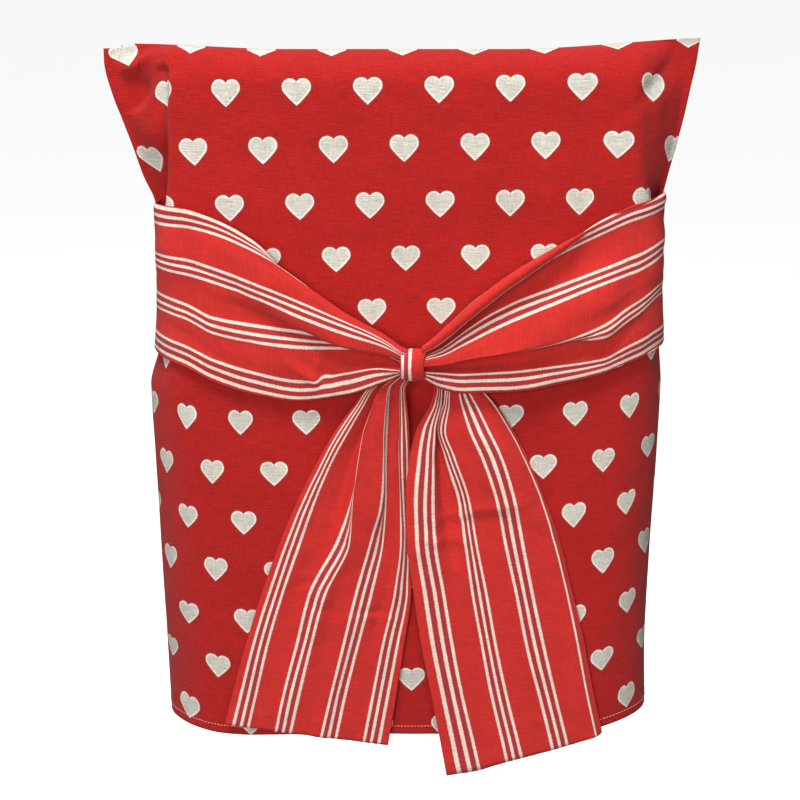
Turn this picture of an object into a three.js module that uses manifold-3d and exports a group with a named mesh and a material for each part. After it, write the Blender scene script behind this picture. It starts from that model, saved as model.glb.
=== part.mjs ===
// A chair cover with a sash: a bag of printed cotton that is pulled down over the back of a dining
// chair, and two wide striped strips that are sewn into its side seams and tied at the back.
// Millimetres, +Z up. X runs across the chair, and the tied side faces -Y.
// The origin is on the underside of the top seam, at mid width, where the chair's top rail holds it.
import * as THREE from 'three';
import Module from 'manifold-3d';

const wasm = await Module();
wasm.setup();

// ---------------------------------------------------------------- driving dimensions
const CLOTH = 1.6;            // thickness of the cotton as built
const SEAM_GAP = 0.3;         // clearance between two pieces that are sewn together
const HALF_WIDTH = 252;       // flat half width of the bag, centre line to side seam
const PANEL_LENGTH = 641;     // top seam to hem, along the cloth
const TOP_RADIUS = 28;        // half the thickness of the bag where it goes over the top rail
const SEAM_TOP = 1.6;         // height of the top seam above the origin
const HEM_DEPTH = 10;         // turned-up hem
const HEM_THICKNESS = 2.8;    // cloth thickness within the hem
const FACE_RIPPLE = 1.2;      // depth of the soft waves in the two flat faces
const EAR_ROOT_RADIUS = 5;    // bend where the side turns out into the ear
const HEM_LIFT = [8, 14];     // how much higher the hem hangs at the left and right side seams
const LIFT_ACROSS = { from: 140, over: 85 };  // where across a panel that lift sets in
const LIFT_DOWN = { from: 480, over: 160 };   // and where down it

const STRIP_WIDTH = 150;      // cut width of each sash strip
const STRIP_THICKNESS = 2;    // thickness of a strip, measured straight out from the cover
const SASH_CLEARANCE = 3;     // least distance from the back of the sash to the cover's line

// ---------------------------------------------------------------- small maths
const clamp = (value, low, high) => Math.min(high, Math.max(low, value));
const mix = (a, b, t) => a + (b - a) * t;
const smooth = (t) => clamp(t, 0, 1) ** 2 * (3 - 2 * clamp(t, 0, 1));
const rise = (x, { from, over }) => smooth((x - from) / over);

// A smooth curve through a few values that never overshoots them (monotone cubic).
function curve(xs, ys) {
  const n = xs.length;
  const slope = [];
  for (let i = 0; i < n - 1; i++) slope.push((ys[i + 1] - ys[i]) / (xs[i + 1] - xs[i]));
  const tangent = [slope[0]];
  for (let i = 1; i < n - 1; i++) {
    const turns = slope[i - 1] * slope[i] <= 0;
    tangent.push(turns ? 0 : 2 / (1 / slope[i - 1] + 1 / slope[i]));
  }
  tangent.push(slope[n - 2]);
  return (x) => {
    const at = clamp(x, xs[0], xs[n - 1]);
    let i = 0;
    while (i < n - 2 && at > xs[i + 1]) i++;
    const h = xs[i + 1] - xs[i];
    const t = (at - xs[i]) / h;
    const a = (1 + 2 * t) * (1 - t) ** 2;
    const b = t * (1 - t) ** 2;
    const c = t * t * (3 - 2 * t);
    const d = t * t * (t - 1);
    return a * ys[i] + b * h * tangent[i] + c * ys[i + 1] + d * h * tangent[i + 1];
  };
}

// One curve for each named column of a table, along its first column.
function tableCurves(columns, rows) {
  const along = rows.map((row) => row[0]);
  const curves = {};
  columns.forEach((name, k) => { curves[name] = curve(along, rows.map((row) => row[k])); });
  return curves;
}

// ---------------------------------------------------------------- the shape of the bag
// Half a level section runs from the middle of the face out to the corner, back along the side,
// and out again along the ear, the flat flap of spare cloth at the top of each side seam.
//   down    distance below the top seam along the cloth
//   corner  half width of the face
//   spread  how far the side slopes outward before it reaches the seam
//   edge    half width at the seam
//   seam    how far the seam lies behind the middle plane
//   round   radius of the corner
//   drop    how far the ear's cloth hangs below the same line of cloth on the face
const SIDE_COLUMNS = ['down', 'corner', 'spread', 'edge', 'seam', 'round', 'drop'];
const LEFT_SIDE = tableCurves(SIDE_COLUMNS, [
  [0, 196, 30, 255, 0, 2, -5],
  [22, 198, 28, 254, 0, 6, 2],
  [44, 201, 22, 249, 0, 9, 8],
  [66, 203, 12, 242, 2, 9, 9],
  [90, 204, 3, 234, 4, 8, 9],
  [118, 204, 2, 222, 8, 8, 8],
  [138, 206, 2, 214.5, 11, 12, 6],
  [175, 210, 1, 211.5, 15, 18, 3],
  [220, 213, 0, 213, 18, 30, 0],
  [280, 219, 0, 219, 19, 44, 0],
  [315, 228, 0, 228, 20, 46, 0],
  [380, 226.5, 0, 226.5, 21, 48, 0],
  [480, 224.5, 0, 224.5, 23, 50, 0],
  [560, 222.5, 0, 222.5, 24, 51, 0],
  [PANEL_LENGTH, 221, 0, 221, 25, 52, 0],
]);
const RIGHT_SIDE = tableCurves(SIDE_COLUMNS, [
  [0, 200, 26, 252, 0, 2, -9],
  [22, 204, 22, 250, 0, 7, -1],
  [44, 207, 18, 245, 0, 12, 6],
  [66, 207, 12, 240, 2, 13, 8],
  [90, 207, 6, 235, 4, 12, 8],
  [118, 207, 4, 229, 8, 12, 8],
  [134, 209, 4, 223, 11, 16, 6],
  [170, 220, 1, 222, 15, 22, 3],
  [220, 224.5, 0, 224.5, 18, 32, 0],
  [280, 229.5, 0, 229.5, 19, 44, 0],
  [315, 232.5, 0, 232.5, 20, 46, 0],
  [380, 231.5, 0, 231.5, 21, 48, 0],
  [480, 228.5, 0, 228.5, 23, 50, 0],
  [560, 227.5, 0, 227.5, 24, 51, 0],
  [PANEL_LENGTH, 230, 0, 230, 25, 52, 0],
]);
// How far the hidden face stands from the middle plane: the bag opens out towards the hem.
const HIDDEN_DEPTH = curve([0, 120, 260, 380, PANEL_LENGTH], [28, 36, 48, 60, 76]);

// Height and depth of the middle of a face: a quarter turn over the top rail, then straight down.
function faceLine(down, depth) {
  const turn = clamp(down / TOP_RADIUS, 0, Math.PI / 2);
  const straight = Math.max(0, down - TOP_RADIUS * Math.PI / 2);
  return {
    y: -depth * Math.sin(turn),
    z: SEAM_TOP - TOP_RADIUS * (1 - Math.cos(turn)) - straight,
  };
}

// The corners of a path, rounded off by arcs and returned as a fine polyline.
const ARC_STEPS = 12;
const CORNER_SHARE = 0.49;    // most of a side that one corner's arc may use
function roundedPath(points, radii) {
  const path = [points[0]];
  for (let i = 1; i < points.length - 1; i++) {
    const [before, here, after] = [points[i - 1], points[i], points[i + 1]];
    const inward = new THREE.Vector2().subVectors(before, here);
    const outward = new THREE.Vector2().subVectors(after, here);
    const room = CORNER_SHARE * Math.min(inward.length(), outward.length());
    const bend = Math.PI - inward.angleTo(outward);
    if (room < 0.05 || bend < 0.02) { path.push(here); continue; }
    const reach = Math.min(radii[i] * Math.tan(bend / 2), i === 1 ? inward.length() : room,
      i === 1 ? outward.length() : room);
    const start = here.clone().addScaledVector(inward.normalize(), reach);
    const end = here.clone().addScaledVector(outward.normalize(), reach);
    const pull = Math.cos(bend / 2);
    for (let k = 0; k <= ARC_STEPS; k++) {
      const t = k / ARC_STEPS;
      const [a, b, c] = [(1 - t) ** 2, 2 * pull * t * (1 - t), t * t];
      path.push(start.clone().multiplyScalar(a).addScaledVector(here, b).addScaledVector(end, c)
        .divideScalar(a + b + c));
    }
  }
  path.push(points[points.length - 1]);
  return path;
}

// Point and outward direction at a share of the way along a polyline.
function alongPath(path, share) {
  const lengths = [0];
  for (let i = 1; i < path.length; i++) lengths.push(lengths[i - 1] + path[i].distanceTo(path[i - 1]));
  const total = lengths[lengths.length - 1];
  const want = clamp(share, 0, 1) * total;
  let i = 1;
  while (i < path.length - 1 && lengths[i] < want) i++;
  const t = (want - lengths[i - 1]) / Math.max(1e-6, lengths[i] - lengths[i - 1]);
  const point = path[i - 1].clone().lerp(path[i], t);
  const direction = new THREE.Vector2().subVectors(path[i], path[i - 1]).normalize();
  return { point, direction, total };
}

// Half a section in plan, as seen on the right-hand side; facing is -1 for the shown face.
const EAR_LENGTH = 8;         // an ear this long lies flat against the other panel's ear
function halfSection(side, down, facing) {
  const depth = facing < 0 ? TOP_RADIUS : HIDDEN_DEPTH(down);
  const face = facing * Math.abs(faceLine(down, depth).y);
  const corner = side.corner(down);
  const seam = side.seam(down);
  const root = corner + side.spread(down);
  const edge = Math.max(side.edge(down), root + 0.2);
  const points = [[0, face], [corner, face], [root, seam], [edge, seam]]
    .map(([x, y]) => new THREE.Vector2(x, y));
  const flat = smooth((edge - root) / EAR_LENGTH);
  const radius = Math.min(side.round(down), Math.abs(seam - face));
  return { path: roundedPath(points, [0, radius, EAR_ROOT_RADIUS, 0]), flat, seam, corner, root };
}

// The same half section pulled tight by the sash, with no ear.
function waistSection(side, down) {
  const points = [[0, -TOP_RADIUS], [side.edge(down), -TOP_RADIUS], [side.edge(down), side.seam(down)]]
    .map(([x, y]) => new THREE.Vector2(x, y));
  return roundedPath(points, [0, Math.min(side.round(down), side.seam(down) + TOP_RADIUS), 0]);
}

// The soft waves of a face: their lengths across and down, and where they set in.
const WAVE = { across: 37, down: 90, rows: 61, phase: 0.8 };
const WAVE_DOWN = { from: 0, over: 120 };
const WAVE_EDGE = { from: -60, over: 50 };   // they fade out before the corner
const EAR_EASE = { before: 4, over: 6 };     // the ear's fall starts before the corner

// A point on the outside of a face of the bag: across and down are measured along the cloth.
function coverPoint(across, down, facing) {
  const side = across < 0 ? LEFT_SIDE : RIGHT_SIDE;
  const half = halfSection(side, down, facing);
  const { point } = alongPath(half.path, Math.abs(across) / HALF_WIDTH);
  const depth = facing < 0 ? TOP_RADIUS : HIDDEN_DEPTH(down);
  const pastCorner = point.x - half.corner;
  const turnIn = Math.max(EAR_LENGTH, half.root - half.corner + EAR_EASE.over);
  const onEar = smooth((pastCorner + EAR_EASE.before) / turnIn);
  const flap = onEar * half.flat;
  const inFace = 1 - rise(pastCorner, WAVE_EDGE);
  const wave = Math.sin(point.x / WAVE.across + down / WAVE.down)
    * Math.sin(down / WAVE.rows + WAVE.phase) * rise(down, WAVE_DOWN);
  const limit = half.seam + facing * (SEAM_GAP / 2 + CLOTH * flap);
  let y = point.y + facing * FACE_RIPPLE * inFace * wave;
  y = facing < 0 ? Math.min(y, limit) : Math.max(y, limit);
  const hemLift = HEM_LIFT[across < 0 ? 0 : 1] * rise(point.x, LIFT_ACROSS) * rise(down, LIFT_DOWN);
  const z = faceLine(down, depth).z - side.drop(down) * onEar + hemLift;
  return new THREE.Vector3(Math.sign(across) * point.x, y, z);
}

// ---------------------------------------------------------------- closed solids from grids
// A closed solid between two grids of points of the same size, joined round their rims.
function sheetSolid(front, back) {
  const rows = front.length;
  const columns = front[0].length;
  const at = (layer, r, c) => layer * rows * columns + r * columns + c;
  const points = [...front.flat(), ...back.flat()];
  const faces = [];
  const quad = (a, b, c, d) => faces.push(a, b, c, a, c, d);
  for (let r = 0; r < rows - 1; r++) {
    for (let c = 0; c < columns - 1; c++) {
      quad(at(0, r, c), at(0, r + 1, c), at(0, r + 1, c + 1), at(0, r, c + 1));
      quad(at(1, r, c), at(1, r, c + 1), at(1, r + 1, c + 1), at(1, r + 1, c));
    }
  }
  for (let r = 0; r < rows - 1; r++) {
    quad(at(0, r, 0), at(1, r, 0), at(1, r + 1, 0), at(0, r + 1, 0));
    quad(at(0, r, columns - 1), at(0, r + 1, columns - 1), at(1, r + 1, columns - 1), at(1, r, columns - 1));
  }
  for (let c = 0; c < columns - 1; c++) {
    quad(at(0, 0, c), at(0, 0, c + 1), at(1, 0, c + 1), at(1, 0, c));
    quad(at(0, rows - 1, c), at(1, rows - 1, c), at(1, rows - 1, c + 1), at(0, rows - 1, c + 1));
  }
  return toManifold(points, faces);
}

// A closed solid from a row of rings with the same number of points, with flat ends.
function ringSolid(rings) {
  const count = rings[0].length;
  const points = rings.flat();
  const faces = [];
  for (let r = 0; r < rings.length - 1; r++) {
    for (let c = 0; c < count; c++) {
      const [a, b] = [r * count + c, r * count + (c + 1) % count];
      faces.push(a, b, b + count, a, b + count, a + count);
    }
  }
  const addCap = (ring, forward) => {
    const centre = points.length;
    const base = ring * count;
    const middle = new THREE.Vector3();
    rings[ring].forEach((point) => middle.addScaledVector(point, 1 / count));
    points.push(middle);
    for (let c = 0; c < count; c++) {
      const next = base + (c + 1) % count;
      faces.push(...(forward ? [centre, base + c, next] : [centre, next, base + c]));
    }
  };
  addCap(0, false);
  addCap(rings.length - 1, true);
  return toManifold(points, faces);
}

function signedVolume(points, faces) {
  let volume = 0;
  const cross = new THREE.Vector3();
  for (let i = 0; i < faces.length; i += 3) {
    cross.crossVectors(points[faces[i + 1]], points[faces[i + 2]]);
    volume += points[faces[i]].dot(cross) / 6;
  }
  return volume;
}

function toManifold(points, faces) {
  const outward = signedVolume(points, faces) > 0;
  const triVerts = new Uint32Array(faces.length);
  for (let i = 0; i < faces.length; i += 3) {
    triVerts[i] = faces[i];
    triVerts[i + 1] = faces[i + (outward ? 1 : 2)];
    triVerts[i + 2] = faces[i + (outward ? 2 : 1)];
  }
  const vertProperties = new Float32Array(points.flatMap((point) => point.toArray()));
  return new wasm.Manifold(new wasm.Mesh({ numProp: 3, vertProperties, triVerts }));
}

function toMesh(name, solid, material) {
  const data = solid.getMesh();
  const positions = new Float32Array(data.numVert * 3);
  for (let i = 0; i < data.numVert; i++) {
    for (let k = 0; k < 3; k++) positions[3 * i + k] = data.vertProperties[data.numProp * i + k];
  }
  const geometry = new THREE.BufferGeometry();
  geometry.setAttribute('position', new THREE.BufferAttribute(positions, 3));
  geometry.setIndex(new THREE.BufferAttribute(new Uint32Array(data.triVerts), 1));
  geometry.computeVertexNormals();
  const mesh = new THREE.Mesh(geometry, material);
  mesh.name = name;
  return mesh;
}

// ---------------------------------------------------------------- the two panels of the bag
// Lines of cloth across half a panel and down it; closer together at the corner and over the rail.
const ACROSS = [0, 34, 68, 102, 134, 158, 176, 188, 197, 203, 209, 216, 224, 233, 242, HALF_WIDTH];
const HEM_LINE = PANEL_LENGTH - HEM_DEPTH;
const DOWN = [0, 11, 22, 33, 44, 58, 74, 92, 112, 132, 150, 165, 180, 196, 214, 234, 258, 285, 315,
  350, 400, 460, 530, HEM_LINE - 2, HEM_LINE, PANEL_LENGTH];

function panelSolid(facing) {
  const lines = [...ACROSS.slice(1).reverse().map((across) => -across), ...ACROSS];
  const outer = DOWN.map((down) => lines.map((across) => coverPoint(across, down, facing)));
  const inner = DOWN.map((down, r) => lines.map((across, c) => {
    const last = lines.length - 1;
    const sideways = new THREE.Vector3().subVectors(
      outer[r][Math.min(c + 1, last)], outer[r][Math.max(c - 1, 0)]);
    const downward = new THREE.Vector3().subVectors(
      outer[Math.min(r + 1, DOWN.length - 1)][c], outer[Math.max(r - 1, 0)][c]);
    const inward = new THREE.Vector3().crossVectors(sideways, downward).normalize()
      .multiplyScalar(facing);
    const thickness = down >= HEM_LINE ? HEM_THICKNESS : CLOTH;
    const point = outer[r][c].clone().addScaledVector(inward, thickness);
    const seam = (across < 0 ? LEFT_SIDE : RIGHT_SIDE).seam(down);
    const limit = seam + facing * SEAM_GAP / 2;
    point.y = facing < 0 ? Math.min(point.y, limit) : Math.max(point.y, limit);
    return point;
  }));
  return sheetSolid(outer, inner);
}

// ---------------------------------------------------------------- the sash
// The part of the bag that the sash lies on, without its ears.
const WAIST_TOP = 180;        // the waist's section serves all of the cloth above this line
function waistPoint(across, z, proud) {
  const side = across < 0 ? LEFT_SIDE : RIGHT_SIDE;
  const down = clamp(SEAM_TOP - TOP_RADIUS + TOP_RADIUS * Math.PI / 2 - z, WAIST_TOP, PANEL_LENGTH);
  const { point, direction } = alongPath(waistSection(side, down), Math.abs(across) / HALF_WIDTH);
  const x = point.x + direction.y * proud;
  const y = point.y - direction.x * proud;
  return new THREE.Vector3(Math.sign(across) * x, y, z);
}

// Each table has a row for a line of the strip, so many mm from its top or left edge, and a column
// for each station along it. The first table places the line, the second says how far it stands
// proud of the cover.
const BAND_STATIONS = [8, 25, 50, 90, 130, 170, 195, 220, 251];   // from the knot to the side seam
const LEFT_BAND = {
  height: [
    [0, -247, -235, -221, -190, -157, -136, -129, -127, -128],
    [8, -249, -237, -223, -193, -161, -140, -133, -131, -131],
    [20, -251, -239, -226, -197, -165, -149, -144, -143, -143],
    [34, -253, -241, -228, -204, -179, -164, -158, -157, -157],
    [48, -255, -243, -231, -213, -195, -180, -173, -171, -170],
    [62, -257, -247, -243, -227, -208, -193, -186, -183, -182],
    [75, -259, -251, -247, -234, -221, -209, -200, -196, -194],
    [89, -261, -254, -251, -239, -233, -225, -213, -208, -206],
    [102, -263, -259, -257, -251, -246, -238, -225, -221, -219],
    [116, -265, -263, -265, -267, -261, -251, -239, -234, -231],
    [130, -268, -267, -273, -282, -275, -263, -251, -246, -243],
    [142, -271, -278, -289, -296, -289, -276, -264, -259, -255],
    [150, -274, -283, -294, -300, -294, -281, -270, -265, -260],
  ],
  proud: [
    [0, 14, 12, 9, 7, 7, 6, 6, 6.5, 6.5],
    [8, 16, 15, 12, 9, 8, 7, 6, 6.5, 6.5],
    [20, 19, 18, 15, 12, 10, 8, 6, 5, 4.5],
    [34, 22, 20, 18, 15, 12, 9, 7, 5, 4.5],
    [48, 24, 22, 19, 16, 13, 9, 7, 5, 4.5],
    [62, 24, 22, 19, 16, 12, 8, 6, 5, 4.5],
    [75, 22, 17, 12, 7, 6, 6, 5, 4.5, 4.5],
    [89, 23, 18, 13, 9, 8, 7, 5, 4.5, 4.5],
    [102, 25, 20, 15, 12, 10, 8, 6, 5, 4.5],
    [116, 25, 19, 14, 11, 9, 7, 6, 5, 4.5],
    [130, 25, 21, 17, 14, 11, 8, 6, 5, 4.5],
    [142, 23, 20, 17, 13, 10, 7, 5, 4.5, 4.5],
    [150, 20, 17, 15, 10, 7, 6, 5, 4.5, 4.5],
  ],
};
const RIGHT_BAND = {
  height: [
    [0, -247, -233, -215, -184, -160, -136, -125, -118, -116],
    [8, -250, -243, -226, -194, -167, -141, -129, -122, -119],
    [20, -252, -246, -229, -199, -171, -149, -138, -131, -129],
    [34, -254, -248, -232, -205, -183, -164, -154, -146, -143],
    [48, -256, -250, -236, -213, -197, -181, -171, -160, -156],
    [62, -258, -255, -246, -227, -210, -193, -185, -174, -170],
    [75, -260, -258, -251, -237, -223, -209, -198, -188, -183],
    [89, -262, -261, -256, -247, -238, -228, -212, -200, -196],
    [102, -264, -264, -261, -256, -250, -240, -221, -209, -206],
    [116, -267, -267, -267, -264, -259, -251, -235, -225, -222],
    [130, -269, -271, -273, -272, -268, -262, -249, -241, -238],
    [142, -273, -281, -285, -285, -279, -270, -260, -252, -249],
    [150, -276, -285, -290, -290, -284, -275, -265, -258, -255],
  ],
  proud: [
    [0, 18, 19, 18, 16, 12, 7, 6, 6.5, 6.5],
    [8, 22, 23, 21, 19, 15, 8, 6, 6.5, 6.5],
    [20, 21, 16, 9, 7, 7, 7, 6, 5, 4.5],
    [34, 21, 16, 9, 7, 6, 6, 6, 5, 4.5],
    [48, 22, 18, 13, 10, 9, 8, 7, 5, 4.5],
    [62, 24, 21, 17, 15, 14, 11, 9, 6, 4.5],
    [75, 26, 23, 20, 19, 17, 12, 9, 6, 4.5],
    [89, 26, 23, 20, 19, 18, 14, 7, 5, 4.5],
    [102, 26, 22, 19, 17, 15, 13, 6, 4.5, 4.5],
    [116, 25, 21, 17, 13, 10, 8, 6, 4.5, 4.5],
    [130, 25, 22, 19, 16, 12, 9, 6, 5, 4.5],
    [142, 23, 21, 19, 16, 11, 8, 6, 5, 4.5],
    [150, 21, 19, 18, 14, 9, 7, 5, 4.5, 4.5],
  ],
};
// Heights of the stations down each tail; the last one is the slanted end.
const LEFT_TAIL = {
  stations: [-272, -288, -305, -325, -350, -390, -430, -480, -530, -580],
  end: [-610, -632],
  across: [
    [0, -6, -32, -44, -58, -72, -92, -109, -127, -143, -157, -165],
    [20, -5, -28, -37, -48, -61, -78, -91, -109, -124, -136, -144],
    [34, -3, -24, -31, -39, -49, -60, -74, -97, -111, -123, -131],
    [48, -2, -21, -26, -33, -39, -46, -57, -84, -97, -110, -118],
    [62, 0, -17, -21, -27, -30, -35, -46, -70, -84, -95, -104],
    [75, 1, -14, -17, -20, -22, -28, -38, -56, -69, -81, -90],
    [89, 3, -11, -14, -14, -15, -21, -30, -42, -54, -66, -76],
    [102, 4, -8, -10, -9, -10, -14, -18, -28, -41, -53, -62],
    [116, 6, -5, -7, -6, -7, -8, -10, -18, -29, -40, -49],
    [130, 7, -2, -3, -2, -3, -2, -2, -8, -19, -27, -36],
    [142, 9, 0, 1, 3, 4, 4, 4, 4, -4, -12, -21],
    [150, 10, 2, 3, 6, 7, 7, 7, 7, 1, -6, -14],
  ],
  proud: [
    [0, 9, 9, 9, 8, 7, 6, 6, 6, 6, 6, 7],
    [20, 10, 11, 12, 12, 11, 10, 9, 8, 7, 7, 8],
    [34, 10, 9, 8, 7, 6, 6, 6, 6, 7, 7, 7],
    [48, 11, 12, 13, 13, 12, 12, 9, 6, 7, 8, 8],
    [62, 11, 10, 9, 8, 7, 8, 11, 10, 9, 8, 8],
    [75, 11, 10, 8, 7, 7, 8, 9, 7, 6, 7, 7],
    [89, 11, 12, 13, 13, 12, 11, 9, 8, 8, 8, 8],
    [102, 11, 10, 9, 8, 8, 8, 7, 7, 7, 7, 7],
    [116, 11, 9, 7, 6, 6, 6, 6, 6, 6, 6, 6],
    [130, 11, 11, 11, 9, 8, 7, 7, 8, 7, 6, 6],
    [142, 10, 10, 9, 7, 6, 6, 6, 6, 6, 6, 6],
    [150, 9, 9, 7, 6, 5.5, 5.5, 5.5, 5.5, 6, 6, 6],
  ],
};
const RIGHT_TAIL = {
  stations: [-268, -285, -300, -325, -350, -390, -430, -480, -530, -580],
  end: [-661, -616],
  across: [
    [0, 20, 26, 23, 11, 6, 2, 3, 9, 16, 25, 39],
    [20, 22, 32, 31, 26, 25, 25, 27, 35, 43, 52, 68],
    [34, 24, 34, 33, 28, 29, 35, 40, 48, 57, 65, 80],
    [48, 26, 36, 35, 30, 36, 48, 54, 61, 70, 79, 93],
    [62, 28, 39, 39, 36, 44, 57, 64, 74, 83, 93, 107],
    [75, 30, 42, 43, 46, 56, 69, 76, 87, 97, 107, 120],
    [89, 32, 46, 49, 57, 68, 81, 89, 100, 110, 122, 134],
    [102, 34, 51, 60, 72, 84, 96, 104, 114, 125, 136, 147],
    [116, 36, 56, 68, 82, 94, 109, 119, 130, 140, 150, 160],
    [130, 37, 60, 74, 89, 102, 119, 132, 145, 156, 165, 173],
    [142, 38, 62, 76, 92, 105, 122, 136, 149, 161, 170, 177],
  ],
  proud: [
    [0, 9, 8, 8, 9, 9, 9, 9, 8, 8, 8, 9],
    [20, 9, 9, 10, 12, 13, 12, 11, 9, 8, 8, 10],
    [34, 9, 8, 8, 7, 7, 8, 8, 8, 8, 8, 10],
    [48, 9, 8, 7, 6, 6, 7, 8, 8, 8, 9, 10],
    [62, 9, 8, 8, 8, 8, 8, 8, 8, 8, 9, 10],
    [75, 9, 9, 9, 11, 11, 10, 9, 9, 9, 9, 10],
    [89, 9, 9, 9, 12, 13, 12, 10, 9, 9, 9, 10],
    [102, 9, 9, 9, 11, 13, 12, 10, 9, 9, 9, 9],
    [116, 9, 9, 9, 10, 11, 10, 9, 8, 8, 8, 9],
    [130, 9, 8, 8, 8, 8, 8, 8, 7, 7, 7, 8],
    [142, 8, 7, 7, 7, 6, 6, 6, 6, 6, 6, 7],
  ],
};

// Values of all of a table's lines at one station, as a curve across the strip.
function acrossStrip(table, stations, station) {
  const lines = table.map((row) => row[0]);
  return curve(lines, table.map((row) => curve(stations, row.slice(1))(station)));
}

// A strip's cloth between its edges: lines to mesh, closer where it is pleated.
const STRIP_LINES = [0, 8, 14, 20, 27, 34, 41, 48, 55, 62, 69, 75, 82, 89, 96, 102, 109, 116, 123,
  130, 136, 142, STRIP_WIDTH];

// side -1 is the left band. Towards the knot the pleats close up into a bundle, so the band's back
// stays close to the cover there instead of following its front.
const BAND_MESH = [8, 14, 25, 38, 52, 70, 90, 112, 136, 160, 180, 195, 209, 223, 237, 251];
const BUNDLE = { from: 10, over: 26 };      // stations over which the bundle opens
const KNOT_EASE = { from: 8, over: 60 };    // stations over which a band swings to the knot
const RIGHT_TUCK = 2;         // how far the right band runs under the wrap
function bandSolid(side, table) {
  const front = [];
  const back = [];
  for (const station of BAND_MESH) {
    const height = acrossStrip(table.height, BAND_STATIONS, station);
    const proud = acrossStrip(table.proud, BAND_STATIONS, station);
    const bundle = 1 - rise(station, BUNDLE);
    const knotX = KNOT.x + side * (KNOT.width / 2 + (side < 0 ? KNOT.gap : -RIGHT_TUCK));
    const fromKnot = knotX + side * (station - BAND_MESH[0]);
    const across = mix(side * station, fromKnot, 1 - rise(station, KNOT_EASE));
    const outer = (line) => Math.max(proud(line), SASH_CLEARANCE + STRIP_THICKNESS);
    front.push(STRIP_LINES.map((line) => waistPoint(across, height(line), outer(line))));
    back.push(STRIP_LINES.map((line) => {
      const sheet = outer(line) - STRIP_THICKNESS;
      const bundled = Math.min(sheet, KNOT.bundleBack);
      return waistPoint(across, height(line), Math.max(SASH_CLEARANCE, mix(sheet, bundled, bundle)));
    }));
  }
  return sheetSolid(front, back);
}

// A tail is meshed by station number, with two more rows where it comes out of the knot.
const TAIL_MESH = [0, 0.6, 1, 1.6, 2, 3, 4, 5, 6, 7, 8, 9, 10];
function tailSolid(tail) {
  const lines = STRIP_LINES.filter((line) => line <= tail.across[tail.across.length - 1][0]);
  const places = [...tail.stations.keys(), tail.stations.length];
  const front = [];
  const back = [];
  for (const place of TAIL_MESH) {
    const across = acrossStrip(tail.across, places, place);
    const proud = acrossStrip(tail.proud, places, place);
    const height = (line) => {
      const end = mix(tail.end[0], tail.end[1], line / STRIP_WIDTH);
      return curve(places, [...tail.stations, end])(place);
    };
    front.push(lines.map((line) => waistPoint(across(line), height(line), proud(line))));
    back.push(lines.map((line) => waistPoint(across(line), height(line),
      Math.max(SASH_CLEARANCE, proud(line) - STRIP_THICKNESS))));
  }
  return sheetSolid(front, back);
}

// The knot: the right-hand strip wraps once round the left-hand one, which runs through it.
const KNOT = {
  x: 7.4,                     // centre
  z: -263,
  proud: 19.5,                // centre, out from the cover's face
  width: 22,                  // along X
  gap: 0.6,                   // clearance from the left band to the wrap
  halfHeight: 14.5,
  halfDepth: 12,
  bundleBack: 12.5,           // the bands' back beside the knot, out from the face
};
// The left-hand strip's core through the knot: x, z, proud, half height and half depth.
const CORE = [
  [-8, -262, 19, 8, 6],
  [2, -263, 19, 7, 5.5],
  [12, -264, 17, 7, 5],
  [20, -266, 12, 7, 4],
  [26, -270, 8, 7, 3],
  [30, -276, 7, 7, 2.4],
];
const RING_SIDES = 16;
// The wrap's section across the knot: share of its width, and share of its full size there.
const WRAP_RINGS = [[-0.5, 0.9], [-0.36, 1], [0, 0.96], [0.36, 1], [0.5, 0.9]];

function knotBody() {
  const rings = WRAP_RINGS.map(([share, size]) => (
    Array.from({ length: RING_SIDES }, (_, k) => {
      const angle = 2 * Math.PI * k / RING_SIDES;
      const z = KNOT.z + KNOT.halfHeight * size * Math.sin(angle);
      const proud = KNOT.proud + KNOT.halfDepth * size * Math.cos(angle);
      return new THREE.Vector3(KNOT.x + KNOT.width * share, -TOP_RADIUS - proud, z);
    })));
  return ringSolid(rings);
}

function coreBody(spare) {
  const rings = CORE.map(([x, z, proud, halfHeight, halfDepth], i) => {
    const end = i === 0 ? -spare : i === CORE.length - 1 ? spare : 0;
    return Array.from({ length: RING_SIDES }, (_, k) => {
      const angle = 2 * Math.PI * k / RING_SIDES;
      return new THREE.Vector3(x + end,
        -TOP_RADIUS - proud - (halfDepth + spare) * Math.cos(angle),
        z + (halfHeight + spare) * Math.sin(angle));
    });
  });
  return ringSolid(rings);
}

const CORE_CLEARANCE = 0.8;
const leftSash = bandSolid(-1, LEFT_BAND).add(coreBody(0)).add(tailSolid(RIGHT_TAIL));
const rightSash = bandSolid(1, RIGHT_BAND).add(knotBody()).add(tailSolid(LEFT_TAIL))
  .subtract(coreBody(CORE_CLEARANCE));

// ---------------------------------------------------------------- the finished object
const heartCotton = new THREE.MeshStandardMaterial({ color: 0xb8282a, roughness: 0.88, metalness: 0 });
const hiddenCotton = new THREE.MeshStandardMaterial({ color: 0xb02628, roughness: 0.88, metalness: 0 });
const stripedCotton = new THREE.MeshStandardMaterial({ color: 0xc8322f, roughness: 0.82, metalness: 0 });
const stripedCottonOver = new THREE.MeshStandardMaterial({ color: 0xcf3a35, roughness: 0.82, metalness: 0 });

const chairCover = new THREE.Group();
chairCover.add(
  toMesh('cover_tied_panel', panelSolid(-1), heartCotton),
  toMesh('cover_seat_panel', panelSolid(1), hiddenCotton),
  toMesh('sash_left_strip', leftSash, stripedCotton),
  toMesh('sash_right_strip', rightSash, stripedCottonOver),
);

export default chairCover;
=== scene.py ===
"""Chair cover with a tied sash, as a small add-on.

Builds the bag of printed cotton that is pulled down over the back of a dining chair, and the two
striped strips that are sewn into its side seams and tied over the face that turns away from the seat.
Tables and surface functions are in millimetres; meshes are made in metres. +Z is up, X runs across
the chair and the tied side faces -Y.
"""
import math

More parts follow.
